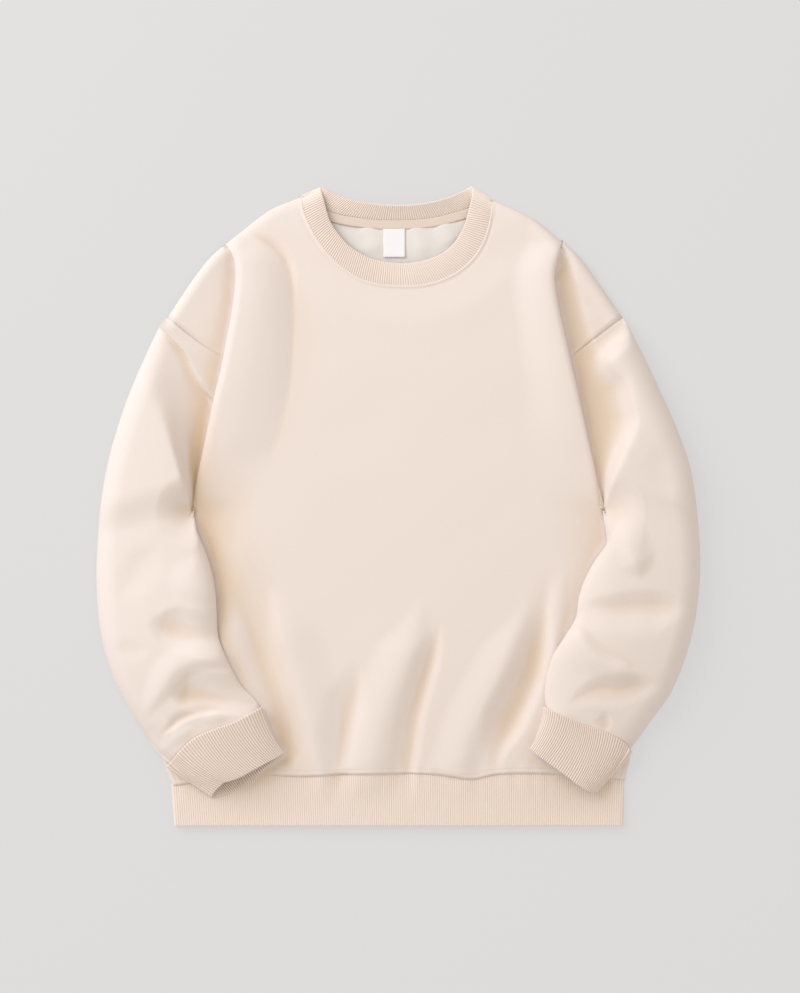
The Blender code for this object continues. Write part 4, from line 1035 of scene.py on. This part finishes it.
def hemRings():
    topCount, underCount = (hem["ribs"] * count for count in (ribs["perRib"], hem["underPerRib"]))
    top = np.arange(topCount + 1) / topCount
    under = np.arange(1, underCount) / underCount
    isTop = np.arange(len(top) + len(under)) < len(top)
    frontEdge = frontGrid[-1]
    frontEdge = frontEdge[np.argsort(frontEdge[:, 0])]

    def ringAt(share):
        low, high = (mix(hem["seamEnds"][side], hem["ends"][side], share) for side in arms)
        x = mix(low, high, np.concatenate((top, under[::-1])))
        seamY = np.interp(x, frontEdge[:, 0], frontEdge[:, 1]) + hem["tuck"]
        seamZ = np.interp(x, frontEdge[:, 0], frontEdge[:, 2]) - hem["sunk"]
        rounded = domed(np.minimum(x - low, high - x) / hem["endRound"])
        swollen = hem["topZ"] + hem["swell"] * np.sin(math.pi * (x - low) / (high - low))
        topZ = mix(np.maximum(seamZ, hem["seamZ"]), swollen, ease(share * hem["quick"]))
        z = mix(hem["foldZ"], np.where(isTop, topZ, hem["underZ"]), rounded)
        return np.stack((x, mix(seamY, hem["edgeY"], share), z), axis=1)

    phase = np.concatenate((top, 2 - under[::-1])) * hem["ribs"]
    return ringAt, phase, np.where(isTop, 1.0, hem["underFade"])


ringAt, phase, outerFade = hemRings()
innerFade = np.full(len(phase), hem["innerFade"])
hemPiece = ribBand("hem_rib", hem, ringAt, phase, outerFade, innerFade, hem["grooveShadeDepth"], 1)
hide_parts("hem_band")
print("hem made")


# Cuffs: from the sleeve's end to marks round the open end, from the inner fold over the top
cuff = {
    "ribs": 84,
    "length": 56,
    "rows": 12,
    "raised": 1.1,
    "grooveShadeDepth": 0.8,
    "innerFade": 0.8,
    "marks": {
        armRight: (
            (-126.5, -271.2, 17), (-134, -275.5, 22.5), (-144.7, -281, 24), (-160, -289.5, 24.5),
            (-174, -297, 24), (-184, -300.5, 23), (-192, -303, 20), (-204, -318.5, 10),
            (-186, -315, 8.6), (-168, -304.5, 9.6), (-144, -286, 11.4),
        ),
        armLeft: (
            (145.2, -266.8, 17), (152, -272.5, 22.5), (163, -280.5, 24), (180, -292.5, 24.5),
            (195, -304, 24), (204, -310, 22), (211.5, -313.5, 18), (217.5, -312, 12.2),
            (205, -306, 11.4), (185, -292, 11.4), (163, -277, 11.4),
        ),
    },
    "topMarks": 8,
    "bow": {armRight: (-2, -3), armLeft: (5, 2)},
    "bowFromZ": 12,
    "bowOver": 8,
    "tuck": 2,
    "inset": 3.2,
}


def cuffRings(side):
    steps = 20
    end = curveThrough(cuff["marks"][side], closed=True, steps=steps)
    topSteps = (cuff["topMarks"] - 1) * steps
    foldAt = sleeve["topColumns"] - 1
    over = sleeveEnds[side][foldAt::-1]
    under = np.concatenate((over[-1:], sleeveEnds[side][:foldAt:-1], over[:1]))
    shares = np.linspace(0, 1, topSteps + 1)[:-1], np.linspace(0, 1, len(end) - topSteps)
    seam = np.concatenate((atShares(over, shares[0]), atShares(under, shares[1])))
    along = unit(seam - end)
    run = np.roll(seam[:-1], -1, axis=0) - np.roll(seam[:-1], 1, axis=0)
    inward = unit(np.cross(np.concatenate((run, run[:1])), along) * side)
    seam = seam + inward * cuff["inset"] + along * cuff["tuck"]
    seam, end, phase = evenRibs(seam, end, cuff["ribs"])[:3]
    bow = np.array((*cuff["bow"][side], 0.0))

    def ringAt(share):
        ring = mix(seam, end, share)
        isHigh = ease((ring[:, 2:] - cuff["bowFromZ"]) / cuff["bowOver"])
        return ring + bow * 4 * share * (1 - share) * isHigh

    return ringAt, phase


for side, arm in arms.items():
    ringAt, phase = cuffRings(side)
    even = np.ones(len(phase))
    innerFade = even * cuff["innerFade"]
    piece = ribBand("cuff_" + arm + "_rib", cuff, ringAt, phase, even, innerFade, cuff["grooveShadeDepth"], side)
    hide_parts("cuff_" + arm)
print("cuffs made")


# Collar band: loops on the neck seam and on the free edge
collar = {
    "seam": (
        (-106.2, 340.5, 4.4), (-104, 325, 7.6), (-93.5, 302, 8.8), (-78.5, 280, 9.2), (-58, 260.5, 9.4),
        (-33, 247.5, 9.5), (0, 243, 9.5), (31, 245, 9.5), (57, 254, 9.4), (78, 269.5, 9.2),
        (92, 290, 8.8), (99.5, 314, 7.6), (102.7, 336, 4.4), (91, 333.5, 1.8), (72, 326.5, 1.8),
        (36, 317.5, 1.8), (0, 315, 1.8), (-36, 316.5, 1.8), (-72, 323, 1.8), (-93, 333, 1.8),
    ),
    "free": (
        (-84.6, 351, 4.6), (-81.6, 336, 8.4), (-75.5, 315, 9), (-65, 298.3, 9.3), (-50, 283.3, 9.5),
        (-28, 271.8, 9.6), (0, 267.2, 9.6), (20, 268.6, 9.6), (38, 273.4, 9.5), (56, 284.2, 9.3),
        (67.7, 299.8, 9), (75, 318, 8.6), (81, 351, 4.6), (72, 347.5, 4), (54, 339.5, 6.5),
        (28, 333.2, 8.5), (0, 331.2, 9), (-28, 333, 8.5), (-54, 337.5, 6.5), (-74, 345.5, 4),
    ),
    "ribs": 204,
    "length": 23,
    "rows": 9,
    "raised": 0.6,
    "frontMarks": 12,
    # how dark the painted shade in the grooves is, by the share of the way round: darker where the ribs
    # lie across the light
    "grooveShadeDepth": (
        (0, 0.08, 0.22, 0.31, 0.42, 0.55, 0.64, 0.8, 1),
        (0.7, 0.8, 0.6, 0.25, 0.45, 0.6, 0.55, 0.45, 0.7),
    ),
    "crown": 1.2,
    "tuck": 2.4,
    "sunk": 1.9,
    # how far from each shoulder these come in
    "crownFade": 30,
    "tuckFade": 14,
    "ribFade": 16,
}


def collarRings():
    steps = 24
    seam, free = (curveThrough(collar[name], closed=True, steps=steps) for name in ("seam", "free"))
    seam, free, phase, places, measure = evenRibs(seam, free, collar["ribs"])
    turn = measure[collar["frontMarks"] * steps]
    onFront = places < turn
    first = (frontGrid.shape[1] - body["neckColumns"] - 1) // 2
    neckEdge = frontGrid[0, first:first + body["neckColumns"] + 1]
    alongNeck = toCurve(neckEdge[:, :2], seam[:, 0], seam[:, 1])[1]
    edgeZ = np.interp(alongNeck, np.linspace(0, 1, len(neckEdge)), neckEdge[:, 2]) - collar["sunk"]
    seam[:, 2] = np.where(onFront, edgeZ, seam[:, 2])
    fromTurn = np.minimum(np.abs(places - turn), np.minimum(places, measure[-1] - places))
    outward = unit((seam - free) * (1, 1, 0))
    seam = seam + outward * (onFront * collar["tuck"] * ease(fromTurn / collar["tuckFade"]))[:, None]
    crown = np.where(onFront, collar["crown"], 0.0) * ease(fromTurn / collar["crownFade"])

    def ringAt(share):
        ring = mix(seam, free, share)
        ring[:, 2] += crown * 4 * share * (1 - share)
        return ring

    grooveShadeDepth = np.interp(places / measure[-1], *collar["grooveShadeDepth"])
    return ringAt, phase, ease(fromTurn / collar["ribFade"]), grooveShadeDepth


ringAt, phase, fade, grooveShadeDepth = collarRings()
collarPiece = ribBand("collar_rib", collar, ringAt, phase, fade, fade, grooveShadeDepth, 1)
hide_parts("collar")
print("collar made")


# Neck tape over the back neck seam, and the label under it
tape = {
    "width": 10.5, "drop": 0.1, "thick": 1, "wall": 0.8, "columns": 120, "rows": 9,
    "lift": 0.4, "tilt": 0.5, "ends": 0.02, "edgeShare": 1 / 6, "edgeLeast": 0.15,
    "stitched": (0.1, 0.88),
}
label = {
    "x": -4.7, "width": 24, "height": 31.5, "thick": 0.8, "wall": 0.35, "columns": 18, "rows": 24,
    "lift": 0.5, "curl": 0.9, "curlFrom": 0.6, "curlMiddle": 0.6, "curlSides": 1.6, "underTape": 1,
}
backNeck = curveThrough(back["neck"])
line = atShares(backNeck, np.linspace(tape["ends"], 1 - tape["ends"], tape["columns"]))
tapeGrid = []
for share in np.linspace(0.0, 1.0, tape["rows"]):
    flat = movedAside(line, tape["drop"] + tape["width"] * share)
    rounded = domed(np.minimum(share, 1 - share) / tape["edgeShare"] + tape["edgeLeast"])
    height = body["cloth"] + tape["lift"] + tape["thick"] * rounded + tape["tilt"] * (1 - share)
    tapeGrid.append(np.column_stack((flat, np.full(len(flat), height))))
tapePiece = sheetPiece(clothMesh(np.array(tapeGrid)), "neck_tape_strip", tapeTwill, tape["wall"])
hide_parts("neck_tape")

topY = np.interp(label["x"], backNeck[:, 0], backNeck[:, 1])
topY = topY - tape["drop"] - tape["width"] + label["underTape"]
across, down = np.meshgrid(np.linspace(-0.5, 0.5, label["columns"]), np.linspace(0, 1, label["rows"]))
curled = ease((down - label["curlFrom"]) / (1 - label["curlFrom"]))
curled = curled * (label["curlMiddle"] + label["curlSides"] * across**2)
labelZ = body["cloth"] + label["lift"] + label["thick"] + label["curl"] * curled
labelGrid = np.dstack((label["x"] + across * label["width"], topY - down * label["height"], labelZ))
labelPiece = sheetPiece(clothMesh(labelGrid), "neck_label_tag", labelSatin, label["wall"])
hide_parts("neck_label")
print("tape and label made")


# Stitches: short raised threads in rows that follow the seams
stitch = {
    "pitch": 3, "length": 2.1, "width": 0.6, "rise": 0.3,
    "onYoke": 4.6, "onSleeve": 4.4, "rowsLeft": 6, "overHem": 6.4, "hemHalf": 244, "tapeEnds": 4,
}


def stitchRow(bm, line, piece):
    # line is walked in even steps, and each stitch lies on the piece under it
    high = 0.2  # in metres, above all the cloth
    cloth = BVHTree.FromObject(piece, bpy.context.evaluated_depsgraph_get())
    count = int(travelled(line)[-1] / stitch["pitch"])
    spots = atShares(line, (np.arange(count) + 0.5) / count)
    runs = np.gradient(spots, axis=0)
    for above, run in zip(spots * mm, runs):
        spot, normal, face, gap = cloth.ray_cast(Vector((*above, high)), Vector((0, 0, -1)))
        if spot is None:
            continue
        along = Vector((*run, 0.0))
        along = (along - normal * along.dot(normal)).normalized()
        across = normal.cross(along)
        sizes = along * stitch["length"] / 2, across * stitch["width"] / 2, normal * stitch["rise"]
        turn = Matrix(sizes).transposed()
        place = Matrix.Translation(spot) @ (turn * mm).to_4x4()
        bmesh.ops.create_icosphere(bm, subdivisions=1, radius=1.0, matrix=place)


def stitches(name, rows):
    bm = bmesh.new()
    for line, piece in rows:
        stitchRow(bm, line, piece)
    return newPiece(bm, name, thread)


for side, arm in arms.items():
    seam = armholes[side][:yokeRows - stitch["rowsLeft"]]
    stitches("armhole_" + arm + "_stitches", (
        (movedAside(seam, stitch["onYoke"] * side), front),
        (movedAside(seam, -stitch["onSleeve"] * side), sleevePieces[side]),
    ))
hemTop = hemLine[abs(hemLine[:, 0]) < stitch["hemHalf"]] + (0.0, stitch["overHem"])
hemStitches = stitches("hem_stitches", ((hemTop, front),))
tapeRows = [movedAside(line, tape["drop"] + tape["width"] * share) for share in tape["stitched"]]
ends = stitch["tapeEnds"]
tapeStitches = stitches("tape_stitches", [(row[ends:-ends], tapePiece) for row in tapeRows])
print("stitches laid")


# How far the cloth around it hides each spot, for the painted shade between folds; hiding cloth towards
# the key light counts more
paintedShade = {
    "cell": 3.5, "margin": 90, "spike": 6, "smoothings": 2, "lead": 1.5,
    "reach": (3.5, 7, 11, 15, 20, 27, 36, 48, 62, 78), "slopeReach": 9, "soften": 14,
    "compass": 24, "side": 0.75, "turn": 140, "least": 0.03, "strength": 3.8, "gather": 1.25,
}


def cornersOf(piece):
    places = np.empty(len(piece.data.vertices) * 3)
    piece.data.vertices.foreach_get("co", places)
    return places.reshape(-1, 3) / mm


def heightMap(pieces, low):
    cell = paintedShade["cell"]
    high = np.array(cadBox[1][:2]) / mm + paintedShade["margin"]
    heights = np.zeros(((high - low) / cell).astype(int)[::-1] + 1)
    for piece in pieces:
        places = cornersOf(piece)
        spots = np.round((places[:, :2] - low) / cell).astype(int)
        np.maximum.at(heights, (spots[:, 1], spots[:, 0]), places[:, 2])
    around = [(east, north) for east in (-1, 0, 1) for north in (-1, 0, 1)]
    near = np.array([np.roll(heights, step, axis=(1, 0)) for step in around])
    heights = np.where(heights < near.max(axis=0) - paintedShade["spike"], np.median(near, axis=0), heights)
    for repeat in range(paintedShade["smoothings"]):
        heights = np.mean([np.roll(heights, step, axis=(1, 0)) for step in around], axis=0)
    return heights


def readMap(heights, x, y):
    east, north = x / paintedShade["cell"], y / paintedShade["cell"]
    column, row = np.floor(east).astype(int), np.floor(north).astype(int)
    total = 0.0
    for up in (0, 1):
        for along in (0, 1):
            share = np.abs(1 - up - (north - row)) * np.abs(1 - along - (east - column))
            total = total + share * heights[row + up, column + along]
    return total


def markPaintedShade(pieces):
    low = np.array(cadBox[0][:2]) / mm - paintedShade["margin"]
    heights = heightMap(pieces, low)
    turns = np.arange(paintedShade["compass"]) * 2 * math.pi / paintedShade["compass"]
    for piece in pieces:
        places = cornersOf(piece)
        x, y = places[:, 0] - low[0], places[:, 1] - low[1]
        z = np.maximum(places[:, 2], readMap(heights, x, y) - paintedShade["lead"])
        hidden = np.zeros(len(z))
        for turn in turns:
            east, north = math.cos(turn), math.sin(turn)
            rises = [
                (readMap(heights, x + east * reach, y + north * reach) - z) / (reach + paintedShade["soften"])
                for reach in paintedShade["reach"]
            ]
            slope = paintedShade["slopeReach"]
            behind = (readMap(heights, x - east * slope, y - north * slope) - z) / slope
            steep = np.maximum(np.max(rises, axis=0) + np.minimum(behind, 0.0), 0.0)
            # painted shade leans to the key light: cloth standing towards it hides more
            weight = 1.0 + paintedShade["side"] * math.cos(turn - math.radians(paintedShade["turn"]))
            hidden += weight * steep / np.sqrt(1 + steep**2) / paintedShade["compass"]
        hidden = 1.0 - np.exp(-paintedShade["strength"] * np.maximum(hidden - paintedShade["least"], 0.0))
        hidden = hidden ** paintedShade["gather"]
        # the painted shade mark by which the cloth finishes mix in their dark warm tint
        piece.data.attributes.new("paintedShade", "FLOAT", "POINT").data.foreach_set("value", hidden)


meshPieces = [piece for piece in bpy.data.objects if piece.type == "MESH" and not piece.hide_render]
markPaintedShade([piece for piece in meshPieces if "cloth" in piece.data.uv_layers])
print("recesses marked")


# Floor, light and camera
studio = {
    "floorSize": 12.0,
    "floor": (0.18, 0.18, 0.18, 1.0),
    "floorGlow": 0.53,
    "sky": (1.0, 0.94, 0.865, 1.0),
    "skyGlow": 0.82,
    "key": {
        "turn": 140.0, "rise": 33.0, "away": 3.4, "size": 2.2, "power": 72.0, "colour": (0.97, 1.0, 1.06),
    },
}
view = {"centre": (1.65, 11), "height": 1092.3, "distance": 5000, "clip": 50.0}
scene = bpy.context.scene


def stageAndLight():
    bpy.ops.mesh.primitive_plane_add(size=studio["floorSize"])
    floor = bpy.context.active_object
    floor.name = "floor"
    material, shader = newMaterial("studioFloor", {
        "Roughness": 0.9, "Specular IOR Level": 0.2, "Base Color": studio["floor"],
        "Emission Color": (1.0, 1.0, 1.0, 1.0), "Emission Strength": studio["floorGlow"],
    })
    floor.data.materials.append(material)
    scene.world = bpy.data.worlds.new("studio")
    scene.world.use_nodes = True
    sky = scene.world.node_tree.nodes["Background"]
    sky.inputs[0].default_value = studio["sky"]
    sky.inputs[1].default_value = studio["skyGlow"]
    key = studio["key"]
    turn, rise = math.radians(key["turn"]), math.radians(key["rise"])
    level = math.cos(rise)
    place = Vector((math.cos(turn) * level, math.sin(turn) * level, math.sin(rise))) * key["away"]
    data = bpy.data.lights.new("key", "AREA")
    data.energy = key["power"]
    data.size = key["size"]
    data.color = key["colour"]
    light = bpy.data.objects.new("key", data)
    light.location = place
    light.rotation_euler = (-place).to_track_quat("-Z", "Y").to_euler()
    scene.collection.objects.link(light)
    scene.view_settings.view_transform = "Standard"


stageAndLight()
cameraData = bpy.data.cameras.new("camera")
cameraData.lens = cameraData.sensor_width * view["distance"] / view["height"]
cameraData.clip_end = view["clip"]
camera = bpy.data.objects.new("camera", cameraData)
camera.location = Vector((*view["centre"], view["distance"])) * mm
scene.collection.objects.link(camera)
scene.camera = camera
